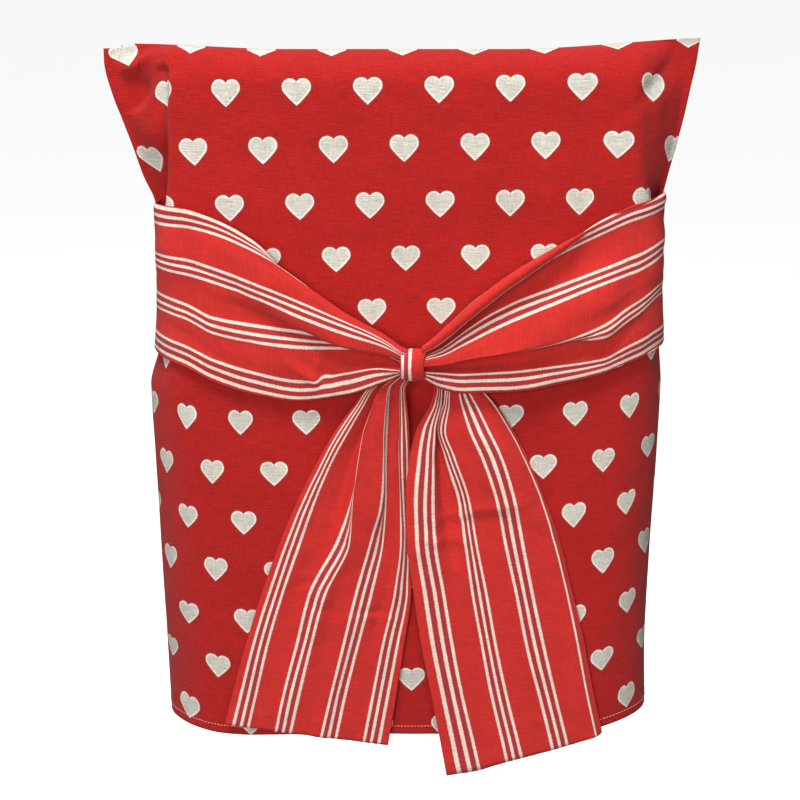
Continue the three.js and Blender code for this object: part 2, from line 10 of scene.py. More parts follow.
import bpy
import numpy as np
from bpy.props import FloatProperty, FloatVectorProperty, PointerProperty
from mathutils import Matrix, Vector


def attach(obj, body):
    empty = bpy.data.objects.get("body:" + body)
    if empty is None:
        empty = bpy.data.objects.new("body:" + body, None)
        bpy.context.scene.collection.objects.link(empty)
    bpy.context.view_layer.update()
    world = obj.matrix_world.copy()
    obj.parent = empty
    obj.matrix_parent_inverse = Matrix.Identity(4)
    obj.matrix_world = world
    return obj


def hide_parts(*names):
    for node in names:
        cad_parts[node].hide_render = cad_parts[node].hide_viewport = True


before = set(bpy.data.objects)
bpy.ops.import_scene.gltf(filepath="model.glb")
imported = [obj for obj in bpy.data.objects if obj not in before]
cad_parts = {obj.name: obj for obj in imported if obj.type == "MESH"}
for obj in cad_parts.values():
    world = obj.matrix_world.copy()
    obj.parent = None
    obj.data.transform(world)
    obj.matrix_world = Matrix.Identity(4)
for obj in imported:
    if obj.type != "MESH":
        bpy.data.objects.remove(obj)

bl_info = {
    "name": "Chair cover with tied sash",
    "version": (1, 0, 0),
    "blender": (4, 5, 0),
    "location": "View3D > Sidebar > Chair Cover",
    "description": "Builds a printed cotton chair cover with a striped sash tied in a knot",
    "category": "Add Mesh",
}

MM = 0.001

# ------------------------------------------------------------------ sizes
HALF_WIDTH = 252.0        # flat half width of the bag
PANEL_LENGTH = 641.0      # top seam to hem, along the cloth
STRIP_WIDTH = 150.0       # cut width of a sash strip
TOP_RADIUS = 28.0         # half the thickness of the bag over the top rail
SEAM_TOP = 1.6            # height of the top seam above the origin
EAR_ROOT_RADIUS = 5.0     # bend where the side turns out into the ear
SEAM_GAP = 0.3            # clearance between the two panels at their seam
EAR_GAP = 1.6             # how far each side of an ear then stands back from that
HEM_LIFT = (8.0, 14.0)    # how much higher the hem hangs at the left and right side seams
TOP_RISE = (4.5, 10.0)    # how much higher the top seam runs at its left and right corners
TIP_FALL = 4.0            # how far the left ear's tip falls from that
WAIST_TOP = 180.0         # the waist's section serves all of the cloth above this line

# Slow changes across or down the bag: where each begins and over how many millimetres it comes in.
LIFT_ACROSS, LIFT_DOWN = (140.0, 85.0), (480.0, 160.0)
RISE_ACROSS, RISE_DOWN = ((100.0, 130.0), (90.0, 190.0)), (0.0, 50.0)
TIP_ACROSS = (228.0, 26.0)

# The slow wave of a face's loose cloth: its height and phase, the lengths that it goes by across,
# aslant and down, how far down it has its full height, and how it fades before the corner.
WAVE_HEIGHT, WAVE_PHASE = 1.2, 0.8
WAVE_ACROSS, WAVE_SLANT, WAVE_DOWN = 37.0, 90.0, 61.0
WAVE_FULL, WAVE_MARGIN, WAVE_FADE = 120.0, 60.0, 50.0
# The cloth turns into the ear from a little before the corner to a little past the root, over at
# least so many millimetres; the ear itself is at least so wide.
EAR_START, EAR_REACH, EAR_LEAST, EAR_WIDTH = 4.0, 6.0, 8.0, 0.2


# ------------------------------------------------------------------ small maths
def smooth(t):
    t = np.clip(t, 0.0, 1.0)
    return t * t * (3.0 - 2.0 * t)


def ease_in(x, change):
    """0 before a slow change, 1 after it; a change is its beginning and its length."""
    start, length = change
    return smooth((x - start) / length)


def mix(a, b, t):
    return a + (b - a) * t


def spans(*ends_and_counts):
    """Places along spans that follow on from each other, each of them (start, end, count)."""
    places = [np.linspace(*span) for span in ends_and_counts]
    return np.concatenate([span[:-1] for span in places[:-1]] + places[-1:])


def arc_length(points):
    """How far each point of a line lies along it."""
    return np.concatenate([[0], np.cumsum(np.linalg.norm(np.diff(points, axis=0), axis=1))])


def curve(xs, ys):
    """A smooth curve through a few values that never overshoots them (monotone cubic)."""
    xs = np.asarray(xs, float)
    ys = np.asarray(ys, float)
    step = np.diff(xs)
    slope = np.diff(ys) / step
    tangent = np.zeros_like(ys)
    tangent[0], tangent[-1] = slope[0], slope[-1]
    same = slope[:-1] * slope[1:] > 0
    before, after = slope[:-1][same], slope[1:][same]
    tangent[1:-1][same] = 2.0 * before * after / (before + after)

    def at(x):
        x = np.clip(x, xs[0], xs[-1])
        i = np.clip(np.searchsorted(xs, x, side="left") - 1, 0, len(xs) - 2)
        t = (x - xs[i]) / step[i]
        value = (1 + 2 * t) * (1 - t) ** 2 * ys[i] + t * t * (3 - 2 * t) * ys[i + 1]
        return value + step[i] * (t * (1 - t) ** 2 * tangent[i] + t * t * (t - 1) * tangent[i + 1])

    return at


def table_curves(columns, rows):
    """One curve for each named column of a table, along its first column."""
    rows = np.array(rows, float)
    return {name: curve(rows[:, 0], rows[:, k]) for k, name in enumerate(columns)}


NOISE_CELLS, NOISE_START = 64, (17.3, 9.7)


def soft_noise(u, v, size, seed):
    """Smooth noise between -1 and 1 with lumps of about the given size."""
    cells = np.random.default_rng(seed).uniform(-1.0, 1.0, (NOISE_CELLS, NOISE_CELLS))
    x, y = u / size + NOISE_START[0], v / size + NOISE_START[1]
    i, j = np.floor(x).astype(int), np.floor(y).astype(int)

    def cell(across, down):
        return cells[(i + across) % NOISE_CELLS, (j + down) % NOISE_CELLS]

    low, high = (mix(cell(0, down), cell(1, down), smooth(x - i)) for down in (0, 1))
    return mix(low, high, smooth(y - j))


def fold_height(u, v, folds):
    """Height of a few long soft folds: each is a ridge, or a valley where its height is negative."""
    total = np.zeros(np.broadcast(u, v).shape)
    for fold_u, fold_v, angle, length, width, height in folds:
        cos, sin = math.cos(math.radians(angle)), math.sin(math.radians(angle))
        along = (u - fold_u) * cos + (v - fold_v) * sin
        beside = (v - fold_v) * cos - (u - fold_u) * sin
        total = total + height * np.exp(-(along / length) ** 2 - (beside / width) ** 2)
    return total


# ------------------------------------------------------------------ the shape of the bag
# Half a level section runs from the middle of the face out to the corner, back along the side,
# and out again along the ear, the flat flap of spare cloth at the top of each side seam.
#   down    distance below the top seam along the cloth
#   corner  half width of the face
#   spread  how far the side slopes outward before it reaches the seam
#   edge    half width at the seam
#   seam    how far the seam lies behind the middle plane
#   round   radius of the corner
#   drop    how far the ear's cloth hangs below the same line of cloth on the face
SIDE_COLUMNS = ["down", "corner", "spread", "edge", "seam", "round", "drop"]
LEFT_SIDE = table_curves(SIDE_COLUMNS, [
    [0, 196, 30, 255, 0, 2, 0],
    [11, 197, 29, 255, 0, 4, 8],
    [22, 198, 28, 254, 0, 6, 11],
    [44, 201, 22, 249, 0, 9, 10],
    [66, 203, 12, 242, 2, 9, 9],
    [90, 204, 3, 234, 4, 8, 9],
    [118, 204, 2, 226, 8, 8, 8],
    [138, 206, 2, 218.5, 11, 12, 6],
    [160, 209, 1, 214, 14, 16, 4],
    [175, 210, 1, 211.5, 15, 18, 3],
    [220, 213, 0, 213, 18, 30, 0],
    [280, 219, 0, 219, 19, 44, 0],
    [315, 228, 0, 228, 20, 46, 0],
    [380, 226.5, 0, 226.5, 21, 48, 0],
    [480, 224.5, 0, 224.5, 23, 50, 0],
    [560, 222.5, 0, 222.5, 24, 51, 0],
    [PANEL_LENGTH, 221, 0, 221, 25, 52, 0],
])
RIGHT_SIDE = table_curves(SIDE_COLUMNS, [
    [0, 198, 34, 252, 0, 2, 0],
    [22, 200, 38, 250, 0, 8, 4],
    [44, 200, 40, 245, 0, 16, 7],
    [66, 200, 38, 241, 2, 18, 8],
    [90, 200, 34, 236, 4, 18, 8],
    [118, 202, 26, 230, 8, 17, 8],
    [134, 206, 17, 227.5, 11, 17, 6],
    [152, 214, 8, 225, 13, 19, 4],
    [170, 220, 1, 222, 15, 22, 3],
    [220, 224.5, 0, 224.5, 18, 32, 0],
    [280, 229.5, 0, 229.5, 19, 44, 0],
    [315, 232.5, 0, 232.5, 20, 46, 0],
    [380, 231.5, 0, 231.5, 21, 48, 0],
    [480, 228.5, 0, 228.5, 23, 50, 0],
    [560, 227.5, 0, 227.5, 24, 51, 0],
    [PANEL_LENGTH, 230, 0, 230, 25, 52, 0],
])
# How far the hidden face stands from the middle plane: the bag opens out towards the hem.
HIDDEN_DEPTH = curve([0, 120, 260, 380, PANEL_LENGTH], [28, 36, 48, 60, 76])

# Soft folds of the two faces, in millimetres of cloth: across, down, angle, half length, half width
# and height out from the face.
TIED_FOLDS = [
    [-150, 150, 8, 90, 26, 1.2],
    [40, 175, -6, 120, 30, -1.6],
    [150, 120, 5, 90, 34, 1.3],
    [-60, 95, 2, 120, 26, -0.9],
    [-170, 430, 82, 120, 26, 1.4],
    [-120, 520, 78, 110, 24, -1.3],
    [175, 450, 96, 120, 28, 1.3],
    [120, 380, 60, 70, 20, -1.0],
    [20, 560, 4, 160, 30, 1.0],
    [13, 318, 90, 30, 12, -3.0],
]
# Folds and dents of the ears, with the same columns.
TIED_EARS = [
    [-227, 18, -20, 19, 8, 7.0],
    [-226, 42, -24, 16, 8, -3.5],
    [-223, 75, 10, 17, 16, 4.5],
    [-190, 14, 0, 30, 10, 2.0],
    [224, 32, -46, 36, 8, -4.5],
    [222, 66, 84, 30, 8, 1.5],
    [240, 16, -50, 22, 6, 2.5],
]
SEAT_EARS = [
    [-226, 64, 10, 26, 10, 2.5],
    [224, 62, 0, 28, 10, 2.5],
]
SEAT_FOLDS = [
    [-120, 240, 80, 150, 30, 2.0],
    [60, 300, 96, 180, 34, -2.2],
    [150, 420, 84, 160, 30, 2.4],
    [-30, 500, 88, 130, 26, 2.2],
    [-160, 540, 92, 120, 26, -2.0],
]

# How the print lies on the cloth at each distance down: how far it is shifted towards the hem in
# the middle, its tilt, how far it bows up at 150 mm from the middle, and how far it rises and is
# eased inward where each side turns back.
PRINT_LAY = table_curves(
    ["down", "level", "tilt", "bow", "left_rise", "right_rise", "left_ease", "right_ease"], [
        [0, -7.5, 0.018, 0, 1, -3, 1, -3],
        [44, 0, 0.018, 0, 0, -1, 3, -3],
        [93, -0.8, 0.018, 0, 0, -1, 1.5, -3],
        [118, -1, 0.018, 0, 0, -0.5, 4.5, 0.6],
        [141, -1.2, 0.018, 0, 0, 0, 0, 4],
        [188, 0.3, 0.015, 0, 2, 2, 5, 6],
        [235, 2.3, 0.014, 0, 5, 4, 9, 9],
        [330, -0.4, 0.027, 1, 10.6, 7.6, 18, 14],
        [380, 0, 0.026, 2.5, 5.5, 8, 13, 13],
        [427, -1.8, 0.020, 5, 4, 9.4, 12, 15],
        [470, -3.5, 0.012, 7, 2, 7, 11, 10],
        [520, -5.5, 0.005, 9, -4, 3.6, 6, 8.6],
        [580, -7.6, 0.005, 10, 0, 0, 5, 8.6],
        [620, -8, 0.009, 6.5, 0, 0, 0, 6.2],
    ])
PRINT_EDGE = HALF_WIDTH + 4.5                          # the ears end short of the next heart out
PRINT_BEYOND, PRINT_BEYOND_DOWN = 60.0, (108.0, 20.0)  # lower down the print runs on past the seam
# From where, over how far and up to which share the print follows the turn of a side, and how much
# of the table's rise it takes there; where the print has the table's bow, and where the bow ends.
TURN_START, TURN_REACH, TURN_MOST, TURN_RISE = 120.0, 80.0, 1.6, 0.79
BOW_AT, BOW_END = 150.0, 210.0


def print_place(u, v):
    """Where the print of a place on the cloth was before the cloth was pulled about."""
    lay = {name: line(v) for name, line in PRINT_LAY.items() if name != "down"}
    left = u < 0
    beyond = np.maximum(0.0, np.abs(u) - TURN_START)
    turned = np.minimum((beyond / TURN_REACH) ** 2, TURN_MOST)
    ease = turned * np.where(left, -lay["left_ease"], lay["right_ease"])
    rise = turned * TURN_RISE * np.where(left, lay["left_rise"], lay["right_rise"])
    bow = lay["bow"] * (np.minimum(np.abs(u), BOW_END) / BOW_AT) ** 2
    limit = PRINT_EDGE + PRINT_BEYOND * ease_in(v, PRINT_BEYOND_DOWN)
    across = np.clip(u + ease, -limit, limit)
    return np.stack([across, v + lay["level"] + lay["tilt"] * u + bow + rise], axis=-1)


def face_line(down, depth):
    """Depth and height of the middle of a face: a quarter turn over the top rail, then straight."""
    turn = np.clip(down / TOP_RADIUS, 0.0, math.pi / 2)
    straight = np.maximum(0.0, down - TOP_RADIUS * math.pi / 2)
    return -depth * np.sin(turn), SEAM_TOP - TOP_RADIUS * (1 - np.cos(turn)) - straight


# The share of a leg that an arc may take, and the room and the bend that are too small to round.
LEG_SHARE, LEAST_ROOM, LEAST_BEND = 0.49, 0.05, 0.02


def rounded_path(points, radii, steps=16):
    """The corners of a path rounded off by arcs, as a fine polyline."""
    points = [np.array(p, float) for p in points]
    path = [points[0]]
    for i in range(1, len(points) - 1):
        inward, outward = points[i - 1] - points[i], points[i + 1] - points[i]
        a, b = np.linalg.norm(inward), np.linalg.norm(outward)
        room = LEG_SHARE * min(a, b)
        cosine = float(np.dot(inward, outward)) / max(1e-9, a * b)
        bend = math.pi - math.acos(max(-1.0, min(1.0, cosine)))
        if room < LEAST_ROOM or bend < LEAST_BEND:
            path.append(points[i])
            continue
        reach = radii[i] * math.tan(bend / 2)
        reach = min(reach, a, b) if i == 1 else min(reach, room)
        start, end = points[i] + inward / a * reach, points[i] + outward / b * reach
        pull = math.cos(bend / 2)
        for t in np.linspace(0.0, 1.0, steps + 1):
            w = ((1 - t) ** 2, 2 * pull * t * (1 - t), t * t)
            path.append((start * w[0] + points[i] * w[1] + end * w[2]) / sum(w))
    path.append(points[-1])
    return np.array(path)


def path_points(path, share):
    """Points at shares of the length of a path, and how far along it they are."""
    lengths = arc_length(path)
    want = share * lengths[-1]
    return np.interp(want, lengths, path[:, 0]), np.interp(want, lengths, path[:, 1]), want


# The left ear of the tied side steps back behind a sharp upright fold. Its recess begins under a
# bridge of cloth from the corner to the face, lower down the farther out it is.
#   down    distance below the top seam along the cloth
#   corner  half width of the face at the fold
#   step    how far back the cloth goes behind the fold
RECESS = table_curves(["down", "corner", "step"], [
    [0, 197, 9],
    [44, 197, 9],
    [66, 198, 12],
    [93, 199, 18],
    [118, 200.5, 27],
    [140, 202, 34],
    [175, 206, 36],
])
RECESS_START, RECESS_EASE, RECESS_END = 24.0, 9.0, (140.0, 20.0)
BRIDGE_FALL, BRIDGE_ACROSS = 30.0, (203.0, 34.0)       # how much lower it begins farther out
RECESS_RADII, RECESS_SLANT, RECESS_CLEARANCE = [0, 4, 3, 0], 1.5, 1.0


def stepped_back(place, down, across, face, edge, seam):
    """A level line of the tied side, moved to where the left ear steps back behind its fold."""
    fold = float(RECESS["corner"](down))
    back = min(face + float(RECESS["step"](down)), seam - RECESS_CLEARANCE)
    path = rounded_path([(0, face), (fold, face), (fold + RECESS_SLANT, back), (edge, seam)], RECESS_RADII)
    start = RECESS_START + BRIDGE_FALL * ease_in(across, BRIDGE_ACROSS)
    share = smooth((down - start) / RECESS_EASE) * (1 - ease_in(down, RECESS_END))
    return [mix(a, b, share) for a, b in zip(place, path_points(path, across / HALF_WIDTH))]


def corner_rise(sign, x, down):
    """How much higher the cloth lies near an upper corner of the bag."""
    if sign < 0:
        rise = TOP_RISE[0] * ease_in(x, RISE_ACROSS[0]) - TIP_FALL * ease_in(x, TIP_ACROSS)
    else:
        rise = TOP_RISE[1] * ease_in(x, RISE_ACROSS[1])
    return rise * (1 - float(ease_in(down, RISE_DOWN)))


def bag_row(sign, down, facing, across):
    """One level line of a face of the bag, for distances across the cloth. sign -1 is the left side."""
    side = {name: float(line(down)) for name, line in (LEFT_SIDE if sign < 0 else RIGHT_SIDE).items()}
    level_y, level_z = face_line(down, TOP_RADIUS if facing < 0 else float(HIDDEN_DEPTH(down)))
    face = facing * abs(float(level_y))
    corner, seam = side["corner"], side["seam"]
    root = corner + side["spread"]
    edge = max(side["edge"], root + EAR_WIDTH)
    flat = float(smooth((edge - root) / EAR_LEAST))
    radius = min(side["round"], abs(seam - face))
    path = rounded_path([(0, face), (corner, face), (root, seam), (edge, seam)],
                        [0, radius, EAR_ROOT_RADIUS, 0])
    x, y, want = path_points(path, across / HALF_WIDTH)
    if sign < 0 and facing < 0 and down < sum(RECESS_END):
        x, y, want = stepped_back((x, y, want), down, across, face, edge, seam)
    on_ear = smooth((x - corner + EAR_START) / max(EAR_LEAST, root - corner + EAR_REACH))
    in_face = 1 - smooth((x - corner + WAVE_MARGIN) / WAVE_FADE)
    wave = np.sin(x / WAVE_ACROSS + down / WAVE_SLANT) * math.sin(down / WAVE_DOWN + WAVE_PHASE)
    y = y + facing * WAVE_HEIGHT * in_face * wave * float(smooth(down / WAVE_FULL))
    limit = seam + facing * (SEAM_GAP / 2 + EAR_GAP * on_ear * flat)
    y = np.minimum(y, limit) if facing < 0 else np.maximum(y, limit)
    lift = HEM_LIFT[0 if sign < 0 else 1] * ease_in(x, LIFT_ACROSS) * float(ease_in(down, LIFT_DOWN))
    z = float(level_z) - side["drop"] * on_ear + lift + corner_rise(sign, x, down)
    return np.stack([sign * x, y, z, sign * want], axis=-1)


def bag_grid(across, down, facing):
    """Points of a face of the bag: a row for each distance down, a column for each across; and how
    far each point is from the middle along the cloth."""
    halves = ((-1, -across[across < 0]), (1, across[across >= 0]))
    rows = np.array([np.concatenate([bag_row(sign, float(d), facing, half) for sign, half in halves])
                     for d in down])
    return rows[..., :3], rows[..., 3]


def side_value(name, left, down):
    """A value of the sides' tables where the cloth lies left of the middle or right of it."""
    return np.where(left, LEFT_SIDE[name](down), RIGHT_SIDE[name](down))


def outward_normals(grid, row, column, facing):
    """Unit normals of a grid of points, which at one of them look along -Y where facing is -1."""
    normals = np.cross(np.gradient(grid, axis=1), np.gradient(grid, axis=0))
    normals = normals / np.maximum(1e-9, np.linalg.norm(normals, axis=-1, keepdims=True))
    turn = 1 if normals[row, column, 1] * facing > 0 else -1
    return normals * turn


# ------------------------------------------------------------------ the sash
def waist_points(across, z, proud):
    """Points over the part of the bag that the sash lies on, proud mm out from its surface."""
    down = np.clip(SEAM_TOP - TOP_RADIUS + TOP_RADIUS * math.pi / 2 - z, WAIST_TOP, PANEL_LENGTH)
    left = across < 0
    seam = side_value("seam", left, down) + TOP_RADIUS
    radius = np.minimum(side_value("round", left, down), seam)
    flat, arc = side_value("edge", left, down) - radius, radius * math.pi / 2
    s = np.minimum(np.abs(across) / HALF_WIDTH, 1.0) * (flat + arc + seam - radius)
    turn = np.clip((s - flat) / radius, 0.0, math.pi / 2)
    x = np.minimum(s, flat) + radius * np.sin(turn) + proud * np.sin(turn)
    y = -TOP_RADIUS + radius * (1 - np.cos(turn)) + np.maximum(0.0, s - flat - arc)
    y = y - proud * np.cos(turn)
    return np.stack([np.where(left, -x, x), y, z], axis=-1)


# Each table has a row for a line of the strip, so many mm from its top or left edge, and a column
# for each station along it. The first table places the line, the second says how far it stands
# proud of the cover.
BAND_STATIONS = [8, 25, 50, 90, 130, 170, 195, 220, 251]   # from the knot to the side seam
LEFT_BAND = {
    "height": [
        [0, -256, -251, -243, -209, -163, -141, -134, -131, -131],
        [5, -253, -248, -239, -202, -157, -136, -129, -127.5, -128],
        [9, -252, -246, -235, -199, -160, -139.5, -133, -131, -131],
        [20, -249, -238, -225, -191, -165, -149, -144, -143, -143],
        [27, -247, -235, -220, -192, -172, -156, -151, -150, -150],
        [34, -248.5, -236, -222, -199, -179, -164, -158, -157, -157],
        [48, -251, -239, -226, -209, -194, -180, -173, -171, -170],
        [62, -254, -245, -236.5, -222.5, -207, -193, -186, -183, -182],
        [68, -257, -251, -246, -231, -213, -200, -192, -189, -188],
        [73, -259, -254, -250, -235, -218, -207, -198, -194, -192],
        [76, -259, -253, -247, -232, -219.5, -209, -200, -196, -194.5],
        [80, -259, -252, -245, -231.5, -223.5, -215, -204, -200, -198],
        [89, -260, -252.5, -246.5, -238, -232, -225, -213, -208, -206],
        [95, -261, -253.5, -248.5, -244, -239, -231, -219, -214.5, -212.5],
        [102, -262, -255, -251.5, -250, -246, -238, -225, -221, -219],
        [106, -263, -258, -256, -256, -250, -241.5, -229, -224.5, -222.5],
        [116, -265, -263, -265, -267, -261, -251, -239, -234, -231],
        [130, -268, -267, -273, -282, -275, -263, -251, -246, -243],
        [142, -271, -278, -289, -296, -289, -276, -264, -259, -255],
        [147, -273, -282, -293, -300, -294, -280.5, -269, -264, -259],
        [150, -274, -281, -290, -298, -293, -280, -269, -265, -260],
    ],
    "proud": [
        [0, 9, 6, 4.5, 5, 5, 4.5, 4, 2.4, 1.8],
        [5, 12, 9, 7, 9, 8, 7, 6, 3.2, 2.2],
        [9, 13, 11, 9, 11, 10, 8, 6.5, 5, 2.6],
        [20, 17, 14, 13, 15, 12, 8, 6, 5, 3.2],
        [27, 21, 18, 16, 16, 13, 9, 7, 5, 4.5],
        [34, 24, 22, 20, 18, 14, 9, 7, 5, 4.5],
        [48, 27, 25, 23, 19, 14, 9, 7, 5, 4.5],
        [62, 26, 26, 25, 20.5, 13, 8, 6, 5, 4.5],
        [68, 26, 26, 25, 19, 11, 7, 5.5, 5, 4.5],
        [73, 24, 23, 21, 13, 7, 6, 5, 4.5, 4.5],
        [76, 20, 18, 14.5, 8, 6, 6, 5, 4.5, 4.5],
        [80, 16, 12, 8, 5.5, 6, 6, 5, 4.5, 4.5],
        [89, 15, 10, 7, 7.5, 8, 7, 5, 4.5, 4.5],
        [95, 15, 10, 7.5, 10, 10, 8, 5.5, 4.5, 4.5],
        [102, 17, 12, 9, 12, 11, 8.5, 6, 5, 4.5],
        [106, 20, 15, 11, 12, 10.5, 8, 6, 5, 4.5],
        [116, 22, 16, 13, 12, 9.5, 7.5, 6, 5, 4.5],
        [130, 25, 21, 14, 9.5, 7.5, 6.5, 6, 5, 4.5],
        [142, 23, 20, 14, 8, 6.5, 5.5, 5, 4.5, 4.5],
        [147, 20, 17, 12, 7, 5.8, 5, 5, 4.5, 4.5],
        [150, 16, 14, 10, 5.5, 4.8, 4.5, 4.5, 4, 4],
    ],
}
RIGHT_BAND = {
    "height": [
        [0, -252, -243, -226, -195, -168, -140, -129, -122, -120],
        [5, -249, -237, -220, -189, -163, -137, -126, -119, -117],
        [10, -247, -233, -215, -184, -160, -140, -129, -122, -120],
        [14, -249, -236, -217, -187.5, -164.5, -144, -133, -126, -124],
        [20, -251, -239.5, -221, -193, -169.5, -149, -138, -131, -129],
        [34, -255, -247, -232, -205, -183, -164, -154, -146, -143],
        [48, -256, -250, -236, -213, -197, -181, -171, -160, -156],
        [62, -258, -255, -246, -227, -210, -193, -185, -174, -170],
        [75, -260, -258, -253, -241, -227, -211, -198, -188, -183],
        [84, -263, -262, -258, -251, -240, -223, -208, -196, -192],
        [89, -263, -262, -257.5, -252, -244.5, -230, -213, -200, -196],
        [96, -262, -260, -254, -248, -245, -235, -219, -205, -201],
        [102, -262, -259, -253, -246, -244.5, -239.5, -223.5, -209, -206],
        [105, -263, -260, -254, -247, -244, -241.5, -226, -212, -209],
        [109, -264, -262, -258, -251, -247.5, -240.5, -228, -216, -213],
        [116, -267, -267, -266, -263, -259, -250, -235, -225, -222],
        [130, -269, -271, -273, -272, -268, -262, -249, -241, -238],
        [142, -273, -281, -285, -285, -279, -270, -260, -252, -249],
        [147, -276, -285, -290, -290, -284, -275, -265, -258, -254],
        [150, -275, -283, -287, -287, -282, -274, -265, -258, -255],
    ],
    "proud": [
        [0, 23, 25, 24, 21, 15, 6, 5, 2.4, 1.8],
        [5, 25, 27, 27, 24, 18, 8, 6.5, 3.2, 2.2],
        [10, 22, 24, 24, 21, 16, 9, 7, 6, 2.6],
        [14, 15, 14, 12, 11, 10, 9, 7, 6, 4],
        [20, 15, 9, 6, 6, 7, 8, 6.5, 5, 3.2],
        [34, 18, 11, 6, 5.5, 5.5, 6, 6, 5, 4.5],
        [48, 22, 17, 12, 9.5, 9, 10, 7, 5.5, 4.5],
        [62, 25, 23, 19, 17, 16, 15.5, 7.5, 5.5, 4.5],
        [75, 28, 26, 24, 22, 20, 17.5, 7.5, 5.5, 4.5],
        [84, 28, 26.5, 25.5, 24.5, 21, 15, 6.5, 5, 4.5],
        [89, 26, 25, 24, 22.5, 20, 15.5, 6.5, 5, 4.5],
        [96, 20, 17, 15, 14, 16, 16.5, 7, 4.5, 4.5],
        [102, 16, 13, 11, 10, 11.5, 17, 8, 4.5, 4.5],
        [105, 16, 12, 9, 8, 8.5, 14.5, 8, 4.5, 4.5],
        [109, 17, 12.5, 8.5, 7, 7, 7.5, 6, 4.5, 4.5],
        [116, 22, 16, 11, 8, 7, 7, 6, 4.5, 4.5],
        [130, 25, 22, 19, 15, 11, 9, 7, 5, 4.5],
        [142, 23, 21, 19, 16, 12, 9, 6, 5, 4.5],
        [147, 20, 18, 17, 14, 10, 7, 5, 4.5, 4.5],
        [150, 16, 15, 14, 11, 7, 6, 4.5, 4, 4],
    ],
}
# Heights of the stations down each tail; the last one is the slanted end.
LEFT_TAIL = {
    "stations": [-272, -288, -305, -325, -350, -390, -430, -480, -530, -580],
    "end": [-610, -632],
    "across": [
        [0, -6, -32, -44, -58, -72, -92, -109, -127, -143, -157, -165],
        [20, -5, -26, -36, -47.5, -61, -78, -92, -109, -124, -136, -144],
        [30, -4, -21, -29, -39, -51, -66, -80, -100, -114, -127, -135],
        [40, -3, -18, -24, -32, -41, -53, -68, -91, -104, -117, -125],
        [48, -2, -18, -23, -30, -37, -45, -58, -84, -97, -110, -118],
        [54, -1, -20, -26, -32, -38, -44, -52, -77, -90.5, -104, -112],
        [59, 0, -22, -28.5, -35, -39.5, -45, -49, -72, -86, -98.5, -107],
        [62, 0, -21.5, -28, -34.5, -39, -44.5, -47.5, -69.5, -83, -95, -104],
        [75, 1, -17, -22, -26, -29, -33.5, -39, -56, -69, -81, -90],
        [86, 2, -14, -16.5, -18, -19, -22, -31, -45, -57, -69, -79],
        [89, 3, -13, -15, -16, -16.5, -18.5, -28.5, -42, -54, -66, -76],
        [93, 3, -12.5, -14.5, -15.5, -16, -17, -25, -38, -50, -62.5, -72],
        [98, 4, -13.5, -15.5, -17, -17.5, -17, -20.5, -33, -45, -57.5, -66.5],
        [103, 4, -11, -12.5, -13.5, -14.5, -15, -17.5, -27.5, -40, -52, -61.5],
        [116, 6, -6, -7, -7, -8, -9, -10.5, -18, -29, -40, -49],
        [127, 7, -3, -3.5, -4, -4.5, -3.5, -3.5, -9.5, -20.5, -30, -39],
        [135, 8, -2, -2, -2, -2, -0.5, 0.5, -3, -13, -22, -31],
        [142, 9, 0, 1, 2, 3, 3.5, 4, 3, -5.5, -14.5, -23.5],
        [150, 10, 2, 3, 5, 6, 7, 7, 7, 1, -6, -14],
    ],
    "proud": [
        [0, 9, 9, 9, 8, 7, 6, 6, 6, 6, 6, 7],
        [20, 10, 10.5, 11, 11, 10.5, 9.5, 8.5, 8, 7.5, 7, 8],
        [30, 10, 9, 9, 9, 8.5, 8, 7.5, 7, 7, 7, 7],
        [40, 10, 8, 7, 6.5, 6, 6, 6, 6.5, 7, 7, 7],
        [48, 10, 8, 7, 6.5, 6.5, 6.5, 6.5, 7, 8, 8, 8],
        [54, 10, 9.5, 9.5, 9, 9, 9, 8, 8, 8.5, 8.5, 8],
        [59, 11, 12, 12.5, 12.5, 12.5, 12, 10.5, 9, 9, 8.5, 8],
        [62, 11, 12.5, 13, 13, 13, 12.5, 11, 10, 9, 8, 8],
        [75, 11, 12, 12.5, 12.5, 12, 12, 10.5, 8, 7, 7, 7],
        [86, 11, 12, 12.5, 12.5, 12, 11.5, 10, 8, 8, 8, 8],
        [89, 11, 12, 12, 12, 11.5, 11, 9.5, 8.5, 8, 8, 8],
        [93, 11, 10.5, 10, 10, 9.5, 9, 8.5, 8, 8, 8, 8],
        [98, 11, 8.5, 8, 7.5, 7.5, 7, 7, 7.5, 7, 7, 7],
        [103, 11, 8.5, 8, 7.5, 7.5, 7.5, 7, 7, 7, 7, 7],
        [116, 11, 9.5, 9, 9, 9, 8.5, 7.5, 6.5, 6, 6, 6],
        [127, 11, 10.5, 10, 9.5, 9, 8.5, 8, 8, 7, 6, 6],
        [135, 10, 10, 9, 8.5, 8, 7.5, 7, 7, 6.5, 6, 6],
        [142, 12, 12, 11, 9, 7.5, 6.5, 6, 6, 6, 6, 6],
        [150, 13, 13, 12, 9, 6.5, 5.5, 5.5, 5.5, 6, 6, 6],
    ],
}
